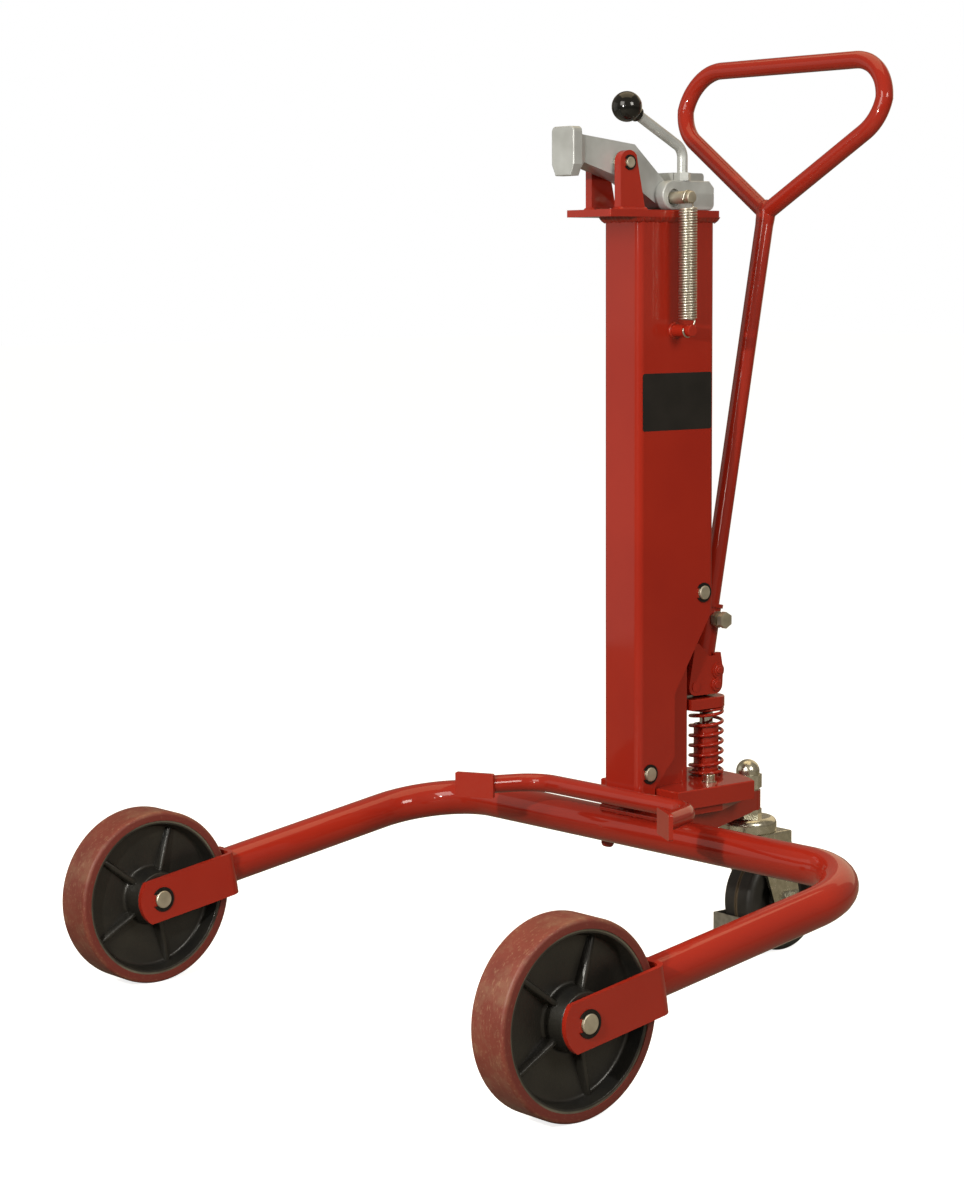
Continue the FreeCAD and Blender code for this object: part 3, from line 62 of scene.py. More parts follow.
def at(x, y, z):
    """A point of the trolley, given in millimetres."""
    return Vector((x, y + mast_y, z)) * 0.001


# The camera stands where the photograph was taken from: to the front and left, a little lower than the jaw,
# with a long lens. The values come from a fit of the wheels, mast and frame to the picture.
focal_px = 2840.73
picture_height_px = 1181
sensor_mm = 36
camera_place = at(2365.99, -2247.09, 804.2)
yaw = math.radians(50.06)
pitch = math.radians(-6.21)
roll = math.radians(-0.27)
forward = Vector((-math.sin(yaw) * math.cos(pitch), math.cos(yaw) * math.cos(pitch), math.sin(pitch)))
level = Vector((math.cos(yaw), math.sin(yaw), 0))
above = level.cross(forward)
right = level * math.cos(roll) + above * math.sin(roll)
above = above * math.cos(roll) - level * math.sin(roll)
camera_data = bpy.data.cameras.new("studio_camera")
camera_data.lens = focal_px * sensor_mm / picture_height_px
camera_data.clip_end = 50
camera = bpy.data.objects.new("studio_camera", camera_data)
turned_to = Matrix((right, above, -forward)).transposed().to_4x4()
camera.matrix_world = Matrix.Translation(camera_place) @ turned_to
bpy.context.scene.collection.objects.link(camera)
bpy.context.scene.camera = camera


# The floor is a sheet of white studio paper in a pale room. Walls and floor are plain white to the camera and
# darker in what the paint mirrors, so that the tubes keep their dark undersides.
def linear(code):
    """An sRGB hex colour as linear RGBA."""
    parts = [int(code[i:i + 2], 16) / 255 for i in (1, 3, 5)]
    return tuple(c / 12.92 if c <= 0.04045 else ((c + 0.055) / 1.055) ** 2.4 for c in parts) + (1.0,)


def add(material, kind, inputs=None, stops=None, **settings):
    """Add one node to a material, with its settings, its input values and links, and its ramp's stops."""
    made = material.node_tree.nodes.new(kind)
    for key, value in settings.items():
        setattr(made, key, value)
    for key, value in (inputs or {}).items():
        if isinstance(value, bpy.types.NodeSocket):
            material.node_tree.links.new(value, made.inputs[key])
        else:
            made.inputs[key].default_value = value
    for k, (place, code) in enumerate(stops or []):
        ramp = made.color_ramp.elements
        stop = ramp[k] if k < len(ramp) else ramp.new(place)
        stop.position = place
        stop.color = linear(code)
    return made


def new_material(name, constants):
    """A material and its surface, with the sockets that hold one value."""
    material = bpy.data.materials.new(name)
    material.use_nodes = True
    surface = material.node_tree.nodes["Principled BSDF"]
    for socket, value in constants.items():
        surface.inputs[socket].default_value = value
    return material, surface


def link(material, source, target):
    """Join one node's output to another's input."""
    material.node_tree.links.new(source, target)


# A colour mix's sockets: its share, the two colours and what comes out.
SHARE, ONE, OTHER, MIXED = 0, 6, 7, 2

# Matt paper: an even white with no shine and no visible edge.
floor_size = 60
paper_glow = 0.82
paper, paper_surface = new_material("studio_paper_matt", {"Roughness": 0.9,
                                                          "Emission Color": linear("#FFFFFF")})
ray = add(paper, "ShaderNodeLightPath")
mirrored = add(paper, "ShaderNodeMix", {SHARE: ray.outputs["Is Glossy Ray"], ONE: linear("#5E5C59"),
                                        OTHER: linear("#8C877A")}, data_type="RGBA")
sheet = add(paper, "ShaderNodeMix", {SHARE: ray.outputs["Is Camera Ray"], ONE: mirrored.outputs[MIXED],
                                     OTHER: linear("#D6D4D0")}, data_type="RGBA")
link(paper, sheet.outputs[MIXED], paper_surface.inputs["Base Color"])
backlit = add(paper, "ShaderNodeMath", {0: ray.outputs["Is Camera Ray"], 1: paper_glow}, operation="MULTIPLY")
link(paper, backlit.outputs["Value"], paper_surface.inputs["Emission Strength"])
bpy.ops.mesh.primitive_plane_add(size=floor_size, location=(0, 0, 0))
floor = bpy.context.object
floor.name = "studio_floor"
floor.data.materials.append(paper)

wall_light = 0.34
wall_mirrored = 0.27
world = bpy.data.worlds.new("studio_room")
bpy.context.scene.world = world
world.use_nodes = True
room = world.node_tree.nodes["Background"]
ray = add(world, "ShaderNodeLightPath")
walls = add(world, "ShaderNodeMapRange", {"Value": ray.outputs["Is Glossy Ray"], "To Min": wall_light,
                                          "To Max": wall_mirrored})
backdrop = add(world, "ShaderNodeMapRange", {"Value": ray.outputs["Is Camera Ray"],
                                             "To Min": walls.outputs["Result"], "To Max": 1.0})
link(world, backdrop.outputs["Result"], room.inputs["Strength"])
warmed = add(world, "ShaderNodeMix", {SHARE: ray.outputs["Is Glossy Ray"], ONE: linear("#FFF7E8"),
                                      OTHER: linear("#FFEED4")}, data_type="RGBA")
tint = add(world, "ShaderNodeMix", {SHARE: ray.outputs["Is Camera Ray"], ONE: warmed.outputs[MIXED],
                                    OTHER: linear("#FFFFFF")}, data_type="RGBA")
link(world, tint.outputs[MIXED], room.inputs["Color"])
bpy.context.scene.view_settings.view_transform = "Standard"

# The lamps: a broad softbox, a small bright spot and a weak panel in front, a softbox on the trolley's left,
# dim panels on its right and behind it, and a warm one overhead. The spot throws the pads' shadows on the
# cross tube, and the weak panel draws a thin light down the round tubes. Sizes are in metres, power in watts.
lamp_aim = at(0, -100, 450)
lamps = [("front_softbox", (500, -2500, 1900), 1.3, 31, "#FFFBF2"),
         ("left_softbox", (2900, -200, 1900), 1.0, 40, "#FFFBF2"),
         ("right_panel", (-2300, -1900, 800), 2.4, 8, "#FFFBF2"),
         ("ceiling_panel", (-300, 200, 3000), 2.4, 24, "#FFE6B6"),
         ("rear_panel", (-900, 2600, 1500), 2.2, 10, "#FFE6BC"),
         ("front_spot", (700, -1950, 980), 0.07, 22, "#FFFBF2"),
         ("near_panel", (1900, -2700, 1300), 0.2, 2, "#FFFBF2")]
for lamp_name, place, size, power, glow in lamps:
    lamp_data = bpy.data.lights.new(lamp_name, "AREA")
    lamp_data.size = size
    lamp_data.energy = power
    lamp_data.color = linear(glow)[:3]
    lamp = bpy.data.objects.new(lamp_name, lamp_data)
    lamp.location = at(*place)
    lamp.rotation_euler = (lamp_aim - lamp.location).to_track_quat("-Z", "Y").to_euler()
    bpy.context.scene.collection.objects.link(lamp)


# Front tyres: brick-red polyurethane, cast on the core in a mould and turned to round shoulders. They roll on
# concrete, so the tread is dusty and the shoulders are scuffed and nicked.
def eased(outline, steps=6):
    """Round the corners of a closed outline of (a, b, radius) points."""
    made = []
    for k, (a, b, radius) in enumerate(outline):
        here = Vector((a, b))
        if radius == 0:
            made.append((a, b))
            continue
        before = (Vector(outline[k - 1][:2]) - here).normalized()
        after = (Vector(outline[(k + 1) % len(outline)][:2]) - here).normalized()
        half = before.angle(after) / 2
        centre = here + (before + after).normalized() * (radius / math.sin(half))
        first = here + before * (radius / math.tan(half)) - centre
        last = here + after * (radius / math.tan(half)) - centre
        sweep = first.angle_signed(last)
        for n in range(steps + 1):
            spot = first.copy()
            spot.rotate(Matrix.Rotation(-sweep * n / steps, 2))
            made.append(tuple(centre + spot))
    return made


def shown(name, mesh, material, sharp=35):
    """A mesh as a piece of the trolley, smooth but for edges sharper than an angle in degrees."""
    mesh.shade_smooth()
    mesh.set_sharp_from_angle(angle=math.radians(sharp))
    mesh.materials.append(material)
    piece = bpy.data.objects.new(name, mesh)
    bpy.context.scene.collection.objects.link(piece)
    return piece


def closed_skin(name, rows):
    """A mesh skinned round a closed row of closed outlines with as many points each."""
    mesh = bpy.data.meshes.new(name)
    count = len(rows[0])
    faces = []
    for k in range(len(rows)):
        following = (k + 1) % len(rows)
        for n in range(count):
            m = (n + 1) % count
            faces.append((k * count + n, following * count + n, following * count + m, k * count + m))
    mesh.from_pydata([point for row in rows for point in row], [], faces)
    clean = bmesh.new()
    clean.from_mesh(mesh)
    bmesh.ops.remove_doubles(clean, verts=clean.verts, dist=1e-7)
    bmesh.ops.recalc_face_normals(clean, faces=clean.faces)
    clean.to_mesh(mesh)
    clean.free()
    return mesh


def turned(name, outline, centre, along, material, body, steps=96):
    """A lathe-turned piece: a closed outline of (radius, height) in millimetres about an axis."""
    rows = []
    for k in range(steps):
        angle = 2 * math.pi * k / steps
        rows.append([(radius * math.cos(angle) / 1000, radius * math.sin(angle) / 1000, height / 1000)
                     for radius, height in outline])
    piece = shown(name, closed_skin(name, rows), material)
    piece.matrix_world = Matrix.Translation(centre) @ along.to_track_quat("Z", "X").to_matrix().to_4x4()
    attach(piece, body)
    return piece


ACROSS = Vector((1, 0, 0))
UP = Vector((0, 0, 1))
wheel_r = 100.0
wheel_half = 24.0
wheel_x = 365.0
axle_y = -470.0
rim_r = 89.5
shoulder_round = 4.3

# Polyurethane from a smooth mould, worn matt: a dull brick red, darker and cleaner on the sides, greyed by
# dust on the tread, with pale specks where the shoulders are nicked. The specks run a little round the wheel.
dust_mm = 50
patch_mm = 30
nick_mm = 2.2
nick_run = 0.45
polyurethane, tyre_surface = new_material("cast_polyurethane_scuffed", {"Roughness": 0.55})
coords = add(polyurethane, "ShaderNodeTexCoord")
split = add(polyurethane, "ShaderNodeSeparateXYZ", {"Vector": coords.outputs["Object"]})
around = add(polyurethane, "ShaderNodeMath", {0: split.outputs["Y"], 1: split.outputs["X"]},
             operation="ARCTAN2")
length = add(polyurethane, "ShaderNodeMath", {0: around.outputs["Value"], 1: wheel_r / 1000},
             operation="MULTIPLY")
flat = add(polyurethane, "ShaderNodeVectorMath", {0: coords.outputs["Object"], 1: (1, 1, 0)},
           operation="MULTIPLY")
radius = add(polyurethane, "ShaderNodeVectorMath", {0: flat.outputs["Vector"]}, operation="LENGTH")
unrolled = add(polyurethane, "ShaderNodeCombineXYZ", {"X": length.outputs["Value"], "Y": split.outputs["Z"],
                                                      "Z": radius.outputs["Value"]})
dust = add(polyurethane, "ShaderNodeTexNoise", {"Vector": coords.outputs["Object"], "Scale": 1000 / dust_mm,
                                                "Detail": 6.0, "Roughness": 0.6})
dusty = add(polyurethane, "ShaderNodeValToRGB", {"Fac": dust.outputs["Fac"]},
            stops=[(0.30, "#66271A"), (0.52, "#723124"), (0.72, "#7C4531")])
tread = add(polyurethane, "ShaderNodeMapRange", {"Value": radius.outputs["Value"],
                                                 "From Min": (wheel_r - 5.0) / 1000,
                                                 "From Max": (wheel_r - 0.8) / 1000})
sided = add(polyurethane, "ShaderNodeMix", {SHARE: tread.outputs["Result"], ONE: linear("#66241B"),
                                            OTHER: dusty.outputs["Color"]}, data_type="RGBA")
patch = add(polyurethane, "ShaderNodeTexNoise", {"Vector": coords.outputs["Object"],
                                                 "Scale": 1000 / patch_mm, "Detail": 9.0, "Roughness": 0.68})
patched = add(polyurethane, "ShaderNodeMapRange", {"Value": patch.outputs["Fac"], "From Min": 0.50,
                                                   "From Max": 0.70, "To Max": 0.5})
patch_mask = add(polyurethane, "ShaderNodeMath", {0: patched.outputs["Result"], 1: tread.outputs["Result"]},
                 operation="MULTIPLY")
dust_grey = add(polyurethane, "ShaderNodeMix", {SHARE: patch_mask.outputs["Value"],
                                                ONE: sided.outputs[MIXED], OTHER: linear("#84674E")},
                data_type="RGBA")
drawn_out = add(polyurethane, "ShaderNodeVectorMath", {0: unrolled.outputs["Vector"], 1: (nick_run, 1, 1)},
                operation="MULTIPLY")
nick = add(polyurethane, "ShaderNodeTexNoise", {"Vector": drawn_out.outputs["Vector"],
                                                "Scale": 1000 / nick_mm, "Detail": 3.0, "Roughness": 0.6})
nicked = add(polyurethane, "ShaderNodeMapRange", {"Value": nick.outputs["Fac"], "From Min": 0.57,
                                                  "From Max": 0.70, "To Max": 0.6})
shoulder = add(polyurethane, "ShaderNodeMapRange", {"Value": radius.outputs["Value"],
                                                    "From Min": (wheel_r - 4.5) / 1000,
                                                    "From Max": (wheel_r - 1.5) / 1000, "To Min": 0.35})
nick_mask = add(polyurethane, "ShaderNodeMath", {0: nicked.outputs["Result"], 1: shoulder.outputs["Result"]},
                operation="MULTIPLY")
tyre_colour = add(polyurethane, "ShaderNodeMix", {SHARE: nick_mask.outputs["Value"],
                                                  ONE: dust_grey.outputs[MIXED], OTHER: linear("#926C52")},
                  data_type="RGBA")
link(polyurethane, tyre_colour.outputs[MIXED], tyre_surface.inputs["Base Color"])
tyre_bump = add(polyurethane, "ShaderNodeBump", {"Height": nick.outputs["Fac"], "Strength": 0.15,
                                                 "Distance": 0.0005})
link(polyurethane, tyre_bump.outputs["Normal"], tyre_surface.inputs["Normal"])

wheel_centres = {"left": at(wheel_x, axle_y, wheel_r), "right": at(-wheel_x, axle_y, wheel_r)}
tyre_outline = eased([(rim_r, -wheel_half, 0), (wheel_r, -wheel_half, shoulder_round),
                      (wheel_r, wheel_half, shoulder_round), (rim_r, wheel_half, 0)])
for side, centre in wheel_centres.items():
    tyre = turned("tyre_tread_" + side, tyre_outline, centre, ACROSS, polyurethane, "wheel_" + side, 128)
    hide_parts("tyre_" + side)

# Wheel cores: grey iron cast in sand and sprayed satin black, with a thin lip inside the tyre, a deep web,
# five drafted ribs on each face and a long hub bored for the bearings. The lip is rubbed to a dull grey.
lip_r = 85.4
lip_half = 22.6
dish_r = 81.6
dish_half = 6.0
web_r = 33.0
web_half = 5.0
hub_r = 29.6
hub_half = 28.5
seat_r = 23.5
seat_half = 14.5
bore_r = 14.0
rib_count = 5
rib_lean = -20.0
rib_from_r = 27.5
rib_to_r = 83.0
rib_hub_rise = 17.0
rib_rim_rise = 10.5
rib_foot_rise = 3.0
rib_foot_half = 5.2
rib_crest_half = 2.1
rib_edge = 1.2

# Sprayed cast iron: a cloudy satin black over a sandy skin, browner and duller where the film is thin, with
# bare grey metal along the lip. The sand's grain is finer than the render shows and is drawn at 2.5 mm.
cloud_mm = 50
sand_mm = 2.5
cast_iron, core_surface = new_material("cast_iron_black_enamel", {})
coords = add(cast_iron, "ShaderNodeTexCoord")
cloud = add(cast_iron, "ShaderNodeTexNoise", {"Vector": coords.outputs["Object"], "Scale": 1000 / cloud_mm,
                                              "Detail": 4.0})
black = add(cast_iron, "ShaderNodeValToRGB", {"Fac": cloud.outputs["Fac"]},
            stops=[(0.35, "#171716"), (0.70, "#26241F")])
flat = add(cast_iron, "ShaderNodeVectorMath", {0: coords.outputs["Object"], 1: (1, 1, 0)},
           operation="MULTIPLY")
radius = add(cast_iron, "ShaderNodeVectorMath", {0: flat.outputs["Vector"]}, operation="LENGTH")
lip = add(cast_iron, "ShaderNodeMapRange", {"Value": radius.outputs["Value"],
                                            "From Min": (rim_r - 2.7) / 1000,
                                            "From Max": (rim_r - 1.5) / 1000})
rubbed = add(cast_iron, "ShaderNodeMapRange", {"Value": cloud.outputs["Fac"], "From Min": 0.35,
                                               "From Max": 0.6, "To Min": 0.15, "To Max": 0.8})
bare = add(cast_iron, "ShaderNodeMath", {0: lip.outputs["Result"], 1: rubbed.outputs["Result"]},
           operation="MULTIPLY")
core_colour = add(cast_iron, "ShaderNodeMix", {SHARE: bare.outputs["Value"], ONE: black.outputs["Color"],
                                               OTHER: linear("#6E695A")}, data_type="RGBA")
link(cast_iron, core_colour.outputs[MIXED], core_surface.inputs["Base Color"])
gloss = add(cast_iron, "ShaderNodeMapRange", {"Value": cloud.outputs["Fac"], "To Min": 0.24, "To Max": 0.48})
link(cast_iron, gloss.outputs["Result"], core_surface.inputs["Roughness"])
grit = add(cast_iron, "ShaderNodeTexNoise", {"Vector": coords.outputs["Object"], "Scale": 1000 / sand_mm,
                                             "Detail": 3.0})
sand = add(cast_iron, "ShaderNodeBump", {"Height": grit.outputs["Fac"], "Strength": 0.35, "Distance": 0.0005})
link(cast_iron, sand.outputs["Normal"], core_surface.inputs["Normal"])

half_core = [(rim_r, lip_half, 0), (lip_r, lip_half, 0.8), (dish_r, dish_half, 4.0), (web_r, web_half, 4.0),
             (hub_r, hub_half, 1.4), (seat_r, hub_half, 0.6), (seat_r, seat_half, 0), (bore_r, seat_half, 0)]
core_outline = eased(half_core + [(r, -h, e) for r, h, e in reversed(half_core)])
rib_ends = [(rib_from_r, rib_foot_rise, rib_foot_half), (rib_from_r, rib_hub_rise, rib_crest_half),
            (rib_to_r, rib_rim_rise, rib_crest_half), (rib_to_r, rib_foot_rise, rib_foot_half)]
for side, centre in wheel_centres.items():
    core = turned("core_casting_" + side, core_outline, centre, ACROSS, cast_iron, "wheel_" + side, 128)
    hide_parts("wheel_core_" + side)
    ribs = bmesh.new()
    for face in (-1, 1):
        for k in range(rib_count):
            turn = Matrix.Rotation(math.radians(rib_lean + 360 / rib_count * k), 3, "X")
            corners = [ribs.verts.new(turn @ (Vector((face * height, wide, reach)) / 1000))
                       for reach, height, half in rib_ends for wide in (-half, half)]
            bmesh.ops.convex_hull(ribs, input=corners)
    bmesh.ops.recalc_face_normals(ribs, faces=ribs.faces)
    bmesh.ops.bevel(ribs, geom=ribs.edges[:], offset=rib_edge / 1000, segments=2, affect="EDGES", profile=0.5)
    rib_mesh = bpy.data.meshes.new("core_ribs_" + side)
    ribs.to_mesh(rib_mesh)
    ribs.free()
    rib_piece = shown("core_ribs_" + side, rib_mesh, cast_iron)
    rib_piece.location = centre
    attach(rib_piece, "wheel_" + side)


# Bearings, guide rollers, axles and pins: turned steel, ground to size and pressed or pushed into their
# bores. Pins have a broken edge at each end.
def dress(material, *names, bevel=0.0):
    """Give CAD solids a finish, smooth their round faces and break their sharp edges."""
    for name in names:
        solid = nodes[name]
        solid.data.materials.clear()
        solid.data.materials.append(material)
        solid.data.shade_smooth()
        solid.data.set_sharp_from_angle(angle=math.radians(32))
        if bevel:
            edge = solid.modifiers.new("broken_edges", "BEVEL")
            edge.width = bevel / 1000
            edge.segments = 2
            edge.limit_method = "ANGLE"
            edge.angle_limit = math.radians(50)
            edge.harden_normals = True


# Ground steel under a film of oil: a soft, even shine with a faint brown cloud in it.
film_mm = 12
steel, steel_surface = new_material("ground_steel_oiled", {"Metallic": 1.0})
coords = add(steel, "ShaderNodeTexCoord")
film = add(steel, "ShaderNodeTexNoise", {"Vector": coords.outputs["Object"], "Scale": 1000 / film_mm,
                                         "Detail": 5.0})
oiled = add(steel, "ShaderNodeValToRGB", {"Fac": film.outputs["Fac"]},
            stops=[(0.3, "#B8B2A2"), (0.7, "#D2CCBC")])
link(steel, oiled.outputs["Color"], steel_surface.inputs["Base Color"])
worn = add(steel, "ShaderNodeMapRange", {"Value": film.outputs["Fac"], "To Min": 0.42, "To Max": 0.58})
link(steel, worn.outputs["Result"], steel_surface.inputs["Roughness"])
dress(steel, "wheel_bearings_left", "wheel_bearings_right", "upper_guide_roller", "lower_guide_roller",
      "ram_cylinder", "pump_roller", "caster_stem")
dress(steel, "axle_left", "axle_right", "jaw_pivot_pin", "guide_pins", "cam_pin", bevel=0.9)

# Retaining rings: stamped from spring steel, hardened and blackened. They snap into grooves in the axles and
# the mast's pins and keep them from sliding out.

# Blackened spring steel: nearly black, with a low metal gleam on its rims.
bloom_mm = 4
blacked, clip_surface = new_material("spring_steel_blackened", {"Metallic": 0.6, "Roughness": 0.45})
coords = add(blacked, "ShaderNodeTexCoord")
bloom = add(blacked, "ShaderNodeTexNoise", {"Vector": coords.outputs["Object"], "Scale": 1000 / bloom_mm,
                                            "Detail": 3.0})
oxide = add(blacked, "ShaderNodeValToRGB", {"Fac": bloom.outputs["Fac"]},
            stops=[(0.3, "#161514"), (0.8, "#2B2926")])
link(blacked, oxide.outputs["Color"], clip_surface.inputs["Base Color"])
dress(blacked, "axle_clips", "mast_clips")

# Wheel forks: flat steel strap bent to a U, rounded in front of the axle and welded to the leg's end. They
# are sprayed in red enamel with the rest of the welded frame.

# Sprayed enamel: a deep, even red under a clear gloss that mirrors the lamps, softer where it is smeared. Its
# faint ripple, called orange peel, is drawn at 3.5 mm.
tone_mm = 160
smear_mm = 30
peel_mm = 3.5
enamel, enamel_surface = new_material("red_enamel_sprayed", {"Coat Weight": 0.8, "Roughness": 0.45,
                                                             "Specular IOR Level": 0.05})
coords = add(enamel, "ShaderNodeTexCoord")
tone = add(enamel, "ShaderNodeTexNoise", {"Vector": coords.outputs["Object"], "Scale": 1000 / tone_mm,
                                          "Detail": 3.0})
reds = add(enamel, "ShaderNodeValToRGB", {"Fac": tone.outputs["Fac"]},
           stops=[(0.30, "#932114"), (0.50, "#992415"), (0.72, "#9F2717")])
link(enamel, reds.outputs["Color"], enamel_surface.inputs["Base Color"])
smear = add(enamel, "ShaderNodeTexNoise", {"Vector": coords.outputs["Object"], "Scale": 1000 / smear_mm,
                                           "Detail": 4.0})
sheen = add(enamel, "ShaderNodeMapRange", {"Value": smear.outputs["Fac"], "From Min": 0.3, "From Max": 0.7,
                                           "To Min": 0.03, "To Max": 0.08})
link(enamel, sheen.outputs["Result"], enamel_surface.inputs["Coat Roughness"])
peel = add(enamel, "ShaderNodeTexNoise", {"Vector": coords.outputs["Object"], "Scale": 1000 / peel_mm,
                                          "Detail": 1.0})
ripple = add(enamel, "ShaderNodeBump", {"Height": peel.outputs["Fac"], "Strength": 0.02, "Distance": 0.0004})
link(enamel, ripple.outputs["Normal"], enamel_surface.inputs["Coat Normal"])
dress(enamel, "fork_left", "fork_right", bevel=0.7)


# Base frame: one round steel tube bent to a U that slopes down from the pump to the wheels, under the same
# red enamel. Each leg ends on its fork's web in a weld all round.
def route(points, radii, step=4):
    """Straight runs between points, with tangent arcs of the given radii at the inner ones."""
    path = [points[0]]
    for before, corner, after, radius in zip(points, points[1:], points[2:], radii):
        back = (before - corner).normalized()
        on = (after - corner).normalized()
        half = back.angle(on) / 2
        reach = radius / 1000
        centre = corner + (back + on).normalized() * (reach / math.sin(half))
        first = corner + back * (reach / math.tan(half)) - centre
        axis = back.cross(on)
        count = max(4, round((180 - math.degrees(2 * half)) / step))
        for n in range(count + 1):
            path.append(centre + Matrix.Rotation((2 * half - math.pi) * n / count, 3, axis) @ first)
    path.append(points[-1])
    return path


def rod(name, path, diameter, material, body, sides=24, swell=None):
    """A round rod along a path, whose thickness may swell from point to point."""
    line = bpy.data.curves.new(name, "CURVE")
    line.dimensions = "3D"
    line.bevel_depth = diameter / 2000
    line.bevel_resolution = sides // 4
    line.use_fill_caps = True
    spline = line.splines.new("POLY")
    spline.points.add(len(path) - 1)
    for k, (point, place) in enumerate(zip(spline.points, path)):
        point.co = (*place, 1)
        point.radius = swell[k] if swell else 1
    drawn = bpy.data.objects.new(name, line)
    mesh = bpy.data.meshes.new_from_object(drawn)
    bpy.data.objects.remove(drawn)
    mesh.name = name
    mesh.materials.clear()
    piece = shown(name, mesh, material, 50)
    if body:
        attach(piece, body)
    return piece


def weld_ripple(k):
    """How much a weld swells at its k-th ripple."""
    return 1 + 0.10 * math.sin(k * 2.1) + 0.06 * math.sin(k * 0.7 + 1.3)


def bead(name, path, width, body):
    """A weld bead under the paint: a low rod that swells a little at each ripple of the weld."""
    spans = [(b - a).length for a, b in zip(path, path[1:])]
    length = sum(spans)
    ripple_pitch = 0.35 * width / 1000
    count = max(8, round(length / ripple_pitch))
    spots = []
    for n in range(count + 1):
        want = length * n / count
        for a, b, span in zip(path, path[1:], spans):
            if want <= span or b is path[-1]:
                spots.append(a.lerp(b, min(1.0, want / span)))
                break
            want -= span
    piece = rod(name, spots, width, enamel, body, 12, [weld_ripple(n) for n in range(count + 1)])
    return piece


def ring(centre, along, diameter, count=40):
    """Points round a circle."""
    turn_to = along.to_track_quat("Z", "X").to_matrix()
    angles = [2 * math.pi * k / count for k in range(count + 1)]
    return [centre + turn_to @ Vector((math.cos(a), math.sin(a), 0)) * (diameter / 2000) for a in angles]


tube_d = 42.4
tube_bend_r = 100
frame_slope = math.radians(9.1)
cross_y = -26
cross_z = wheel_r + (cross_y - axle_y) * math.tan(frame_slope)
heel = 109.5
leg_y = axle_y + heel * math.cos(frame_slope)
leg_z = wheel_r + heel * math.sin(frame_slope)
leg_way = Vector((0, math.cos(frame_slope), math.sin(frame_slope)))
leg_weld = 6.0
leg_weld_lift = 1.2
tube_corners = [at(-wheel_x, leg_y, leg_z), at(-wheel_x, cross_y, cross_z), at(wheel_x, cross_y, cross_z),
                at(wheel_x, leg_y, leg_z)]
base = rod("base_tube_bent", route(tube_corners, [tube_bend_r] * 2, 3), tube_d, enamel, "chassis", 40)
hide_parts("base_tube")
for side, sign in (("left", 1), ("right", -1)):
    leg_end = at(sign * wheel_x, leg_y, leg_z) + leg_way * (leg_weld_lift / 1000)
    bead("leg_weld_" + side, ring(leg_end, leg_way, tube_d + 1), leg_weld, "chassis")

# Base bracket, pump block and column: welded plate, an oil block machined from bar and a rectangular tube,
# all under the red enamel. The bracket is welded to the back of the cross tube and carries the block.
bracket_weld_half = 56
bracket_weld_y = -37
bracket_weld_z = 192.2
bracket_weld = 9.0
dress(enamel, "base_bracket", "column", bevel=0.8)
dress(enamel, "pump_block", bevel=0.5)
bracket_ends = [at(x, bracket_weld_y, bracket_weld_z) for x in (-bracket_weld_half, bracket_weld_half)]
bead("bracket_weld", bracket_ends, bracket_weld, "chassis")

# Release lever: a painted steel spindle in the block with a flat lever that hangs from it. The lever's end
# is folded from the same strip, wide and rounded for a thumb.
thumb_place = at(-81.8, 14, 214.25)
thumb_tilt = math.radians(-12)
thumb_thick = 7.4
thumb_edge = 1.6
dress(enamel, "release_valve", bevel=0.5)
thumb_outline = eased([(-8.4, -80, 6.5), (8.4, -80, 6.5), (7.8, -52, 1.5), (-7.8, -52, 1.5)])
thumb = bmesh.new()
flank = thumb.faces.new([thumb.verts.new(Vector((0, y, z)) / 1000) for y, z in thumb_outline])
far_flank = bmesh.ops.extrude_face_region(thumb, geom=[flank])["geom"]
for vert in [v for v in far_flank if isinstance(v, bmesh.types.BMVert)]:
    vert.co.x -= thumb_thick / 1000
bmesh.ops.recalc_face_normals(thumb, faces=thumb.faces)
rims = [e for e in thumb.edges if abs(e.verts[0].co.x - e.verts[1].co.x) < 0.001]
bmesh.ops.bevel(thumb, geom=rims, offset=thumb_edge / 1000, segments=3, affect="EDGES", profile=0.5)
thumb_mesh = bpy.data.meshes.new("release_thumb_end")
thumb.to_mesh(thumb_mesh)
thumb.free()
thumb_end = shown("release_thumb_end", thumb_mesh, enamel)
thumb_end.matrix_world = Matrix.Translation(thumb_place) @ Matrix.Rotation(thumb_tilt, 4, "X")
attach(thumb_end, "release_valve")

# Screws, nuts, washers, spacers and the caster's axle: steel, cold headed or turned, then zinc plated. The
# screws hold the block down on the bracket and the spacers stand beside the jaw.

# Zinc plating: a bright grey with a yellowish cast and a clouded, uneven shine.
frost_mm = 6
zinc, zinc_surface = new_material("steel_zinc_plated", {"Metallic": 1.0})
coords = add(zinc, "ShaderNodeTexCoord")
frost = add(zinc, "ShaderNodeTexNoise", {"Vector": coords.outputs["Object"], "Scale": 1000 / frost_mm,
                                         "Detail": 4.0})
plating = add(zinc, "ShaderNodeValToRGB", {"Fac": frost.outputs["Fac"]},
              stops=[(0.3, "#BAB8A8"), (0.7, "#DAD8CA")])
link(zinc, plating.outputs["Color"], zinc_surface.inputs["Base Color"])
dulled = add(zinc, "ShaderNodeMapRange", {"Value": frost.outputs["Fac"], "To Min": 0.16, "To Max": 0.34})
link(zinc, dulled.outputs["Result"], zinc_surface.inputs["Roughness"])
dress(zinc, "block_screws", "jaw_spacers", "stem_fasteners", "caster_axle", "caster_nuts", bevel=0.4)

# Mast: a rectangular steel tube, cut away low at the rear, with the top plate, the jaw's ears, the drum pads
# and the spring's anchor welded on. All of it is sprayed in the red enamel after welding.
dress(enamel, "mast_tube", bevel=0.6)
dress(enamel, "top_plate", bevel=1.8)
dress(enamel, "jaw_ears", "bar_pads", bevel=1.2)
dress(enamel, "spring_anchor", bevel=0.6)


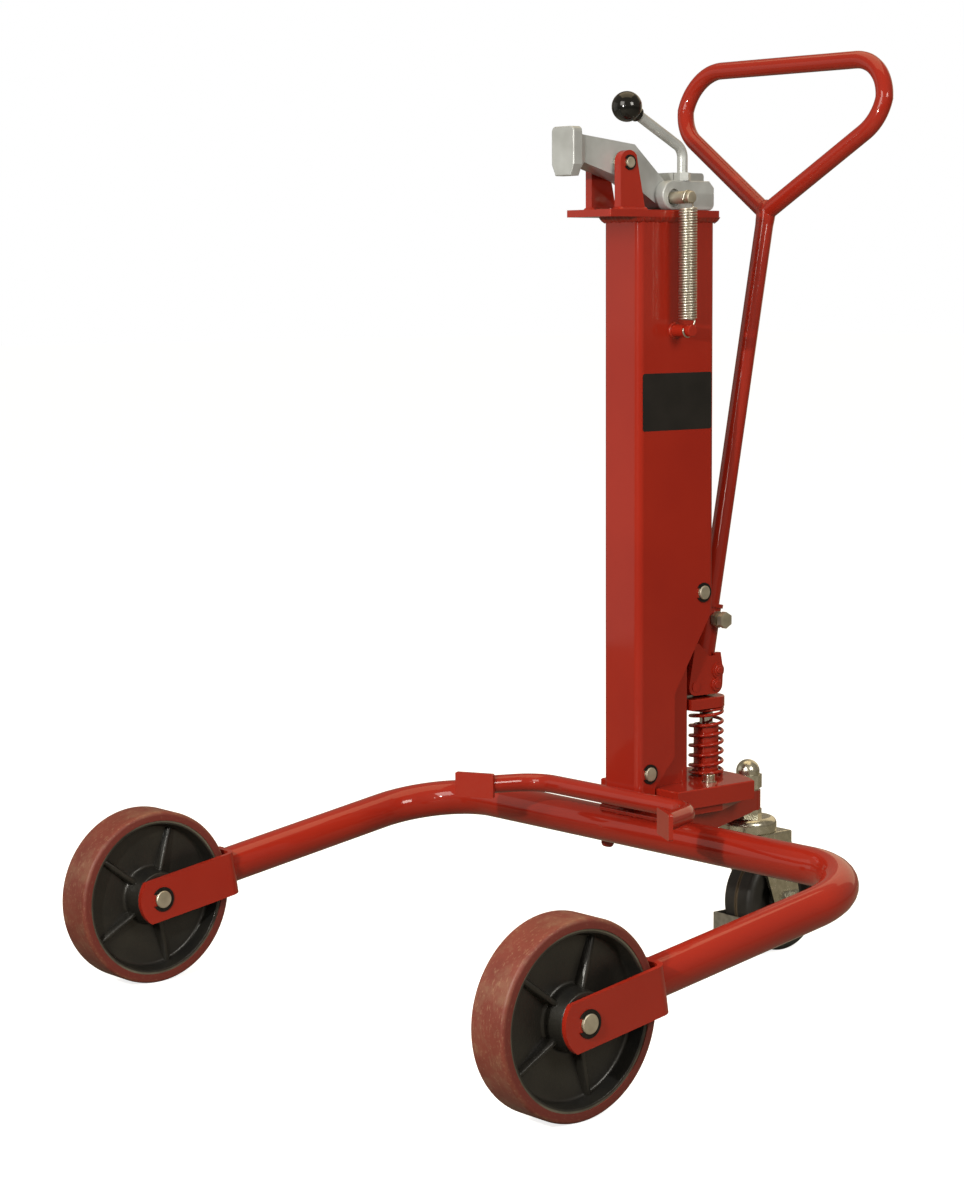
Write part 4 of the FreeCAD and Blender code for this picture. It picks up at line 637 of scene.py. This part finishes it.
def fillet(name, corners, normal, leg, body):
    """A fillet weld round a closed outline: a rippled bead that fills the corner outside it."""
    sides = list(zip(corners, corners[1:] + corners[:1]))
    middle = sum(corners, Vector()) / len(corners)
    ripple_pitch = 0.0022
    spots = []
    for (start, end), (_, after) in zip(sides, sides[1:] + sides[:1]):
        way = (end - start).normalized()
        aside = normal.cross(way)
        if aside.dot(start - middle) < 0:
            aside = -aside
        turn = normal.cross((after - end).normalized())
        if turn.dot(end - middle) < 0:
            turn = -turn
        count = max(2, round((end - start).length / ripple_pitch))
        spots += [(start.lerp(end, n / count), aside) for n in range(count)]
        spots += [(end, aside.lerp(turn, n / 4).normalized()) for n in range(4)]
    section = ((-0.2, -0.2), (1, -0.1), (0.86, 0.16), (0.56, 0.56), (0.16, 0.86), (-0.1, 1))
    rows = []
    for k, (place, aside) in enumerate(spots):
        size = leg / 1000 * weld_ripple(k)
        rows.append([place + aside * (out * size) + normal * (rise * size) for out, rise in section])
    piece = shown(name, closed_skin(name, rows), enamel, 60)
    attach(piece, body)
    return piece


mast_half_x = 30
mast_half_y = 60
corner_x = mast_half_x - 2
corner_y = mast_half_y - 6
plate_under = 875.0
plate_top = 883.0
ear_x = 24
ear_half = 5
ear_front = -87
ear_back = -49.5
cam_pin_y = -5
anchor_z = 748.0
plate_weld = 6.0
ear_weld = 3.0
anchor_weld = 4.0
anchor_weld_d = 15
plate_round = [(-mast_half_x, -corner_y), (-corner_x, -mast_half_y), (corner_x, -mast_half_y),
               (mast_half_x, -corner_y), (mast_half_x, corner_y), (corner_x, mast_half_y),
               (-corner_x, mast_half_y), (-mast_half_x, corner_y)]
fillet("plate_weld", [at(x, y, plate_under) for x, y in plate_round], -UP, plate_weld, "mast")
for side, x in (("left", ear_x), ("right", -ear_x)):
    ear_foot = [(x + ear_half, ear_front), (x + ear_half, ear_back), (x - ear_half, ear_back),
                (x - ear_half, ear_front)]
    fillet("ear_weld_" + side, [at(a, b, plate_top) for a, b in ear_foot], UP, ear_weld, "mast")
anchor_foot = at(mast_half_x + 0.5, cam_pin_y, anchor_z)
bead("anchor_weld", ring(anchor_foot, ACROSS, anchor_weld_d), anchor_weld, "mast")

# Decal: a rectangle cut from black vinyl film with small round corners. Its own glue holds it to the mast's
# left side.
decal_half = 54
decal_low = 635
decal_high = 700
decal_corner = 3
decal_thick = 0.15

# Black vinyl: flat and even, with a soft sheen that is duller than the enamel round it.
haze_mm = 30
decal, decal_surface = new_material("vinyl_decal_black", {"Roughness": 0.35})
coords = add(decal, "ShaderNodeTexCoord")
haze = add(decal, "ShaderNodeTexNoise", {"Vector": coords.outputs["Object"], "Scale": 1000 / haze_mm,
                                         "Detail": 3.0})
inked = add(decal, "ShaderNodeValToRGB", {"Fac": haze.outputs["Fac"]},
            stops=[(0.3, "#141312"), (0.8, "#201D1B")])
link(decal, inked.outputs["Color"], decal_surface.inputs["Base Color"])
decal_outline = eased([(-decal_half, decal_low, decal_corner), (decal_half, decal_low, decal_corner),
                       (decal_half, decal_high, decal_corner), (-decal_half, decal_high, decal_corner)])
decal_mesh = bpy.data.meshes.new("mast_decal")
decal_mesh.from_pydata([at(mast_half_x + decal_thick, y, z) for y, z in decal_outline], [],
                       [list(range(len(decal_outline)))])
label = shown("mast_decal", decal_mesh, decal)
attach(label, "mast")

# Jaw arm, cam and cam lever: the arm and cam are flame cut from thick steel and the lever is bent from round
# bar, screwed into the cam and locked with a nut. All are sprayed silver grey.

# Silver-grey enamel: pale and half metallic, with blurred highlights and a fine grain, drawn at 2.2 mm.
grain_mm = 2.2
shade_mm = 30
silver, silver_surface = new_material("silver_grey_enamel_sprayed", {"Metallic": 0.35, "Roughness": 0.42})
coords = add(silver, "ShaderNodeTexCoord")
shade = add(silver, "ShaderNodeTexNoise", {"Vector": coords.outputs["Object"], "Scale": 1000 / shade_mm,
                                           "Detail": 3.0})
greys = add(silver, "ShaderNodeValToRGB", {"Fac": shade.outputs["Fac"]},
            stops=[(0.3, "#ABAEAD"), (0.7, "#BFC3C3")])
link(silver, greys.outputs["Color"], silver_surface.inputs["Base Color"])
speck = add(silver, "ShaderNodeTexNoise", {"Vector": coords.outputs["Object"], "Scale": 1000 / grain_mm,
                                           "Detail": 3.0})
hammer = add(silver, "ShaderNodeBump", {"Height": speck.outputs["Fac"], "Strength": 0.15, "Distance": 0.0004})
link(silver, hammer.outputs["Normal"], silver_surface.inputs["Normal"])
dress(silver, "jaw_arm", "cam_block", bevel=1.0)
dress(silver, "lever_nut", bevel=0.5)

cam_top = plate_top + 33.4
lever_d = 12
lever_bend_r = 16
lever_x = 22.4
lever_y = 14
lever_upright = 35.5
lever_reach = 91.5
lever_lean = math.radians(62.5)
lever_foot = at(lever_x, lever_y, cam_top + 2)
lever_corner = at(lever_x, lever_y, cam_top + lever_upright)
lever_way = Vector((0, -math.sin(lever_lean), math.cos(lever_lean)))
lever_tip = lever_corner + lever_way * (lever_reach / 1000)
lever = rod("cam_lever", route([lever_foot, lever_corner, lever_tip], [lever_bend_r]), lever_d, silver, "cam")
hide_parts("ball_lever_rod")

# Ball knob: a ball of black phenolic with a short neck, moulded and polished, and screwed on the end of the
# cam lever.
ball_r = 17.0
neck_r = 8.5
neck_end = -19.5

# Polished phenolic: a black mirror with small sharp lights, blurred here and there by hand smears.
smear_mm = 20
phenolic, knob_surface = new_material("phenolic_black_polished", {"Base Color": linear("#121211")})
coords = add(phenolic, "ShaderNodeTexCoord")
smear = add(phenolic, "ShaderNodeTexNoise", {"Vector": coords.outputs["Object"], "Scale": 1000 / smear_mm,
                                             "Detail": 4.0})
smears = add(phenolic, "ShaderNodeMapRange", {"Value": smear.outputs["Fac"], "To Min": 0.06, "To Max": 0.20})
link(phenolic, smears.outputs["Result"], knob_surface.inputs["Roughness"])
ball = [(0.0, neck_end), (neck_r - 0.6, neck_end), (neck_r, neck_end + 0.8), (neck_r, neck_end + 4.3)]
ball += [(ball_r * math.sin(math.radians(d)), -ball_r * math.cos(math.radians(d)))
         for d in range(36, 180, 6)]
ball_centre = lever_tip + lever_way * (0.3 * ball_r / 1000)
knob = turned("lever_ball", ball + [(0.0, ball_r)], ball_centre, lever_way, phenolic, "cam", 64)
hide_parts("ball_knob")


# Jaw spring: cold-drawn spring wire wound nearly close and zinc plated, hooked over the cam pin's groove
# above and the anchor's groove below.
def coil(centre, radius, low, high, turns, start, per_turn=36):
    """Points along a coil that winds up from a start angle in degrees."""
    path = []
    for k in range(turns * per_turn + 1):
        angle = math.radians(start) + 2 * math.pi * k / per_turn
        path.append(at(centre[0] + radius * math.cos(angle), centre[1] + radius * math.sin(angle),
                       low + (high - low) * k / (turns * per_turn)))
    return path


def eased_join(first, first_way, last, last_way, count=12):
    """A smooth line between two points and directions."""
    reach = (last - first).length * 0.9
    made = []
    for n in range(1, count):
        t = n / count
        places = first * (2 * t ** 3 - 3 * t ** 2 + 1) + last * (3 * t ** 2 - 2 * t ** 3)
        ways = first_way * (t ** 3 - 2 * t ** 2 + t) + last_way * (t ** 3 - t ** 2)
        made.append(places + ways * reach)
    return made


# Plated spring wire: a warm bright line along each turn with a dark gap under it, and hardly any pattern.
drawn_mm = 20
wire_steel, wire_surface = new_material("spring_wire_zinc_plated", {"Metallic": 1.0, "Roughness": 0.34})
coords = add(wire_steel, "ShaderNodeTexCoord")
drawn = add(wire_steel, "ShaderNodeTexNoise", {"Vector": coords.outputs["Object"], "Scale": 1000 / drawn_mm,
                                               "Detail": 2.0})
bright = add(wire_steel, "ShaderNodeValToRGB", {"Fac": drawn.outputs["Fac"]},
             stops=[(0.3, "#CBC8BC"), (0.7, "#DFDCD2")])
link(wire_steel, bright.outputs["Color"], wire_surface.inputs["Base Color"])

spring_x = 51.4
cam_pin_z = 897.0
hook_r = 7.1
hook_rise = 12.1
hook_tail = 2.4
jaw_wire_d = 2.2
jaw_coil_r = 9.55
jaw_turns = 41
hook_steps = [math.radians(a) for a in range(0, 181, 12)]
spring_path = [at(spring_x, cam_pin_y - hook_r, anchor_z + hook_tail)]
spring_path += [at(spring_x, cam_pin_y - hook_r * math.cos(a), anchor_z - hook_r * math.sin(a))
                for a in hook_steps]
wound = coil((spring_x, cam_pin_y), jaw_coil_r, anchor_z + hook_rise, cam_pin_z - hook_rise, jaw_turns, 90)
spring_path += eased_join(spring_path[-1], UP, wound[0], (wound[1] - wound[0]).normalized())
spring_path += wound
hook_low = at(spring_x, cam_pin_y + hook_r, cam_pin_z)
spring_path += eased_join(wound[-1], (wound[-1] - wound[-2]).normalized(), hook_low, UP)
spring_path += [at(spring_x, cam_pin_y + hook_r * math.cos(a), cam_pin_z + hook_r * math.sin(a))
                for a in hook_steps]
spring_path.append(at(spring_x, cam_pin_y - hook_r, cam_pin_z - hook_tail))
jaw_spring = rod("jaw_spring_wire", spring_path, jaw_wire_d, wire_steel, None, 16)
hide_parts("jaw_spring")
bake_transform(jaw_spring)

# Drum bar: solid round bar bent at both ends and welded across the mast's front, under the red enamel. Each
# end is cut to lie on the back of a flat pad that bears on the drum.
bar_d = 21.2
bar_bend_r = 42
bar_corner_x = 130
bar_y = -70.6
bar_z = 217.0
bar_overrun = 16
bar_weld_y = -60.5
bar_weld_half = 24
bar_weld_rise = 5.5
bar_weld = 5.0
pad_x = 160
pad_y = -145.5
pad_half_thick = 3
pad_turn = math.radians(28)
tip_from_x = 125
bar_points = [at(-pad_x, pad_y, bar_z), at(-bar_corner_x, bar_y, bar_z), at(bar_corner_x, bar_y, bar_z),
              at(pad_x, pad_y, bar_z)]
for end, corner in ((0, 1), (3, 2)):
    outward = (bar_points[end] - bar_points[corner]).normalized()
    bar_points[end] = bar_points[end] + outward * (bar_overrun / 1000)
bar = rod("drum_bar_bent", route(bar_points, [bar_bend_r, bar_bend_r]), bar_d, enamel, None, 28)
cut = bmesh.new()
cut.from_mesh(bar.data)
for sign in (-1, 1):
    look = Vector((-sign * math.sin(pad_turn), -math.cos(pad_turn), 0))
    tip = [v for v in cut.verts if v.co.x * sign > tip_from_x / 1000]
    tip += list({e for v in tip for e in v.link_edges}) + list({f for v in tip for f in v.link_faces})
    pad_back = at(sign * pad_x, pad_y, bar_z) - look * (pad_half_thick / 1000)
    bmesh.ops.bisect_plane(cut, geom=tip, clear_outer=True, plane_co=pad_back, plane_no=look)
cut.to_mesh(bar.data)
cut.free()
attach(bar, "mast")
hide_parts("drum_bar")
for z in (bar_z - bar_weld_rise, bar_z + bar_weld_rise):
    bar_ends = [at(x, bar_weld_y, z) for x in (-bar_weld_half, bar_weld_half)]
    bead(f"bar_weld_{round(z)}", bar_ends, bar_weld, "mast")

# Pump: a painted barrel screwed into the block, a hard-chromed plunger, and a painted return spring that
# stands on the block and pushes the spring seat up. The lift ram inside the column has the same chromed rod.

# Ground hard chrome: a clear grey mirror, slightly blurred in patches by the grinding, drawn at 4 mm.
grind_mm = 4
chrome, chrome_surface = new_material("hard_chrome_ground", {"Base Color": linear("#C9C9C8"),
                                                             "Metallic": 1.0})
coords = add(chrome, "ShaderNodeTexCoord")
lines = add(chrome, "ShaderNodeTexNoise", {"Vector": coords.outputs["Object"], "Scale": 1000 / grind_mm,
                                           "Detail": 4.0})
fine = add(chrome, "ShaderNodeMapRange", {"Value": lines.outputs["Fac"], "To Min": 0.06, "To Max": 0.18})
link(chrome, fine.outputs["Result"], chrome_surface.inputs["Roughness"])
dress(chrome, "plunger", "ram_rod")
dress(enamel, "pump_barrel", bevel=0.6)
dress(enamel, "spring_seat", bevel=3.0)

pump_y = 77
pump_wire_d = 4
pump_coil_r = 19
pump_start = 60
pump_rises = [(227, 231, 1), (231, 301.5, 6), (301.5, 305.5, 1)]
wire = [at(pump_coil_r * math.cos(math.radians(pump_start)),
           pump_y + pump_coil_r * math.sin(math.radians(pump_start)), pump_rises[0][0])]
for low, high, turns in pump_rises:
    wire += coil((0, pump_y), pump_coil_r, low, high, turns, pump_start)[1:]
return_spring = rod("pump_spring_wire", wire, pump_wire_d, enamel, "chassis", 16)
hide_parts("pump_spring")
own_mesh(return_spring)

# Pump lever: a painted casting that rocks on the column's lug and presses the plunger with a roller. Its pins
# end in stepped bosses that stand out from its left side.
dress(enamel, "pump_lever", bevel=0.8)
dress(enamel, "lever_pivot_pin", "roller_axle", bevel=0.6)
lever_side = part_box("pump_lever")[1].x * 1000
for boss, y, z, wide in (("roller", 74, 334.8, 7.6), ("rear", 77, 351.0, 6.4)):
    narrow = wide * 0.62
    step = [(0, -1.5, 0), (wide, -1.5, 0), (wide, 1.4, 0.8), (narrow, 1.4, 0.3), (narrow, 3.4, 0.9),
            (0, 3.4, 0)]
    foot = at(lever_side, y, z)
    collar = turned("lever_boss_" + boss, eased(step), foot, ACROSS, enamel, "handle", 40)

# Handle: steel tube in the lever's socket, where a bolt and nut clamp it, with a loop bent from tube and
# welded on at the fork. The weld is dressed smooth under the red enamel.
dress(steel, "clamp_bolt", "clamp_nut", bevel=0.4)
handle_slope = math.tan(math.radians(11.1))
handle_y = 68
handle_z = 352
shaft_d = 21.4
shaft_foot = 359
loop_d = 20.2
loop_half = 161.5
loop_bend_r = 52
loop_rise = math.radians(33)
fork_z = 883
loop_z = 1055


def shaft_at(z):
    """The handle's middle line at a height."""
    return at(0, handle_y + (z - handle_z) * handle_slope, z)


fork_point = shaft_at(fork_z)
loop_top = shaft_at(loop_z)
shaft_way = (loop_top - fork_point).normalized()
loop_aside = ACROSS * (loop_half / 1000)
loop_low = fork_point + shaft_way * (loop_half / 1000 * math.tan(loop_rise))
loop = route([fork_point, loop_low + loop_aside, loop_top + loop_aside, loop_top - loop_aside,
              loop_low - loop_aside, fork_point], [loop_bend_r] * 4, 4)
handle_loop = rod("handle_loop", loop, loop_d, enamel, "handle", 28)
handle_shaft = rod("handle_shaft", [shaft_at(shaft_foot), fork_point], shaft_d, enamel, "handle", 28)
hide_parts("handle_tube")
weld_swells = [(-16, 0.99), (-9, 1.04), (-2, 1.07), (5, 1.04), (10, 0.88), (13.5, 0.58), (15, 0.25)]
crotch = rod("handle_fork_weld", [fork_point + shaft_way * (s / 1000) for s, _ in weld_swells], shaft_d,
             enamel, "handle", 28, [swell for _, swell in weld_swells])

# Rear caster: a yoke pressed from plate and zinc plated, which swivels under a bearing cap on a stem bolted
# to the bracket with a domed nut. A guard folded from galvanised sheet stands in front of the wheel.
dress(zinc, "acorn_nut", "bearing_cap", "caster_yoke", bevel=0.5)

# Galvanised sheet: a dull grey with small flat crystals, called spangle, about 6 mm across.
spangle_mm = 6
galvanised, guard_surface = new_material("steel_sheet_galvanised", {"Metallic": 0.9, "Roughness": 0.36})
coords = add(galvanised, "ShaderNodeTexCoord")
spangle = add(galvanised, "ShaderNodeTexVoronoi", {"Vector": coords.outputs["Object"],
                                                   "Scale": 1000 / spangle_mm})
flakes = add(galvanised, "ShaderNodeValToRGB", {"Fac": spangle.outputs["Distance"]},
             stops=[(0.2, "#9C9B93"), (0.8, "#B4B3AB")])
link(galvanised, flakes.outputs["Color"], guard_surface.inputs["Base Color"])
dress(galvanised, "wheel_guard", bevel=0.4)

# Caster wheel: a black rubber tyre moulded on a core of the same black, on the yoke's axle. The tyre has a
# groove round its middle that picks up dust.

# Moulded rubber: a soft, clouded black with a weak sheen, and a brown line of dust in the groove.
cloud_mm = 20
groove_half = 1.2
groove_edge = 3.4
tyre_low, tyre_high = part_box("caster_tyre")
tyre_middle = nodes["caster_tyre"].matrix_world.inverted() @ ((tyre_low + tyre_high) / 2)
rubber, rubber_surface = new_material("rubber_black_moulded", {"Roughness": 0.5})
coords = add(rubber, "ShaderNodeTexCoord")
grain = add(rubber, "ShaderNodeTexNoise", {"Vector": coords.outputs["Object"], "Scale": 1000 / cloud_mm,
                                           "Detail": 5.0})
blacks = add(rubber, "ShaderNodeValToRGB", {"Fac": grain.outputs["Fac"]},
             stops=[(0.3, "#151514"), (0.75, "#2C2A27")])
centred = add(rubber, "ShaderNodeVectorMath", {0: coords.outputs["Object"], 1: tyre_middle},
              operation="SUBTRACT")
split = add(rubber, "ShaderNodeSeparateXYZ", {"Vector": centred.outputs["Vector"]})
aside = add(rubber, "ShaderNodeMath", {0: split.outputs["X"]}, operation="ABSOLUTE")
groove = add(rubber, "ShaderNodeMapRange", {"Value": aside.outputs["Value"], "From Min": groove_half / 1000,
                                            "From Max": groove_edge / 1000, "To Min": 0.75, "To Max": 0.0})
clogged = add(rubber, "ShaderNodeMix", {SHARE: groove.outputs["Result"], ONE: blacks.outputs["Color"],
                                        OTHER: linear("#6A5A44")}, data_type="RGBA")
link(rubber, clogged.outputs[MIXED], rubber_surface.inputs["Base Color"])
dress(rubber, "caster_tyre", "caster_core")
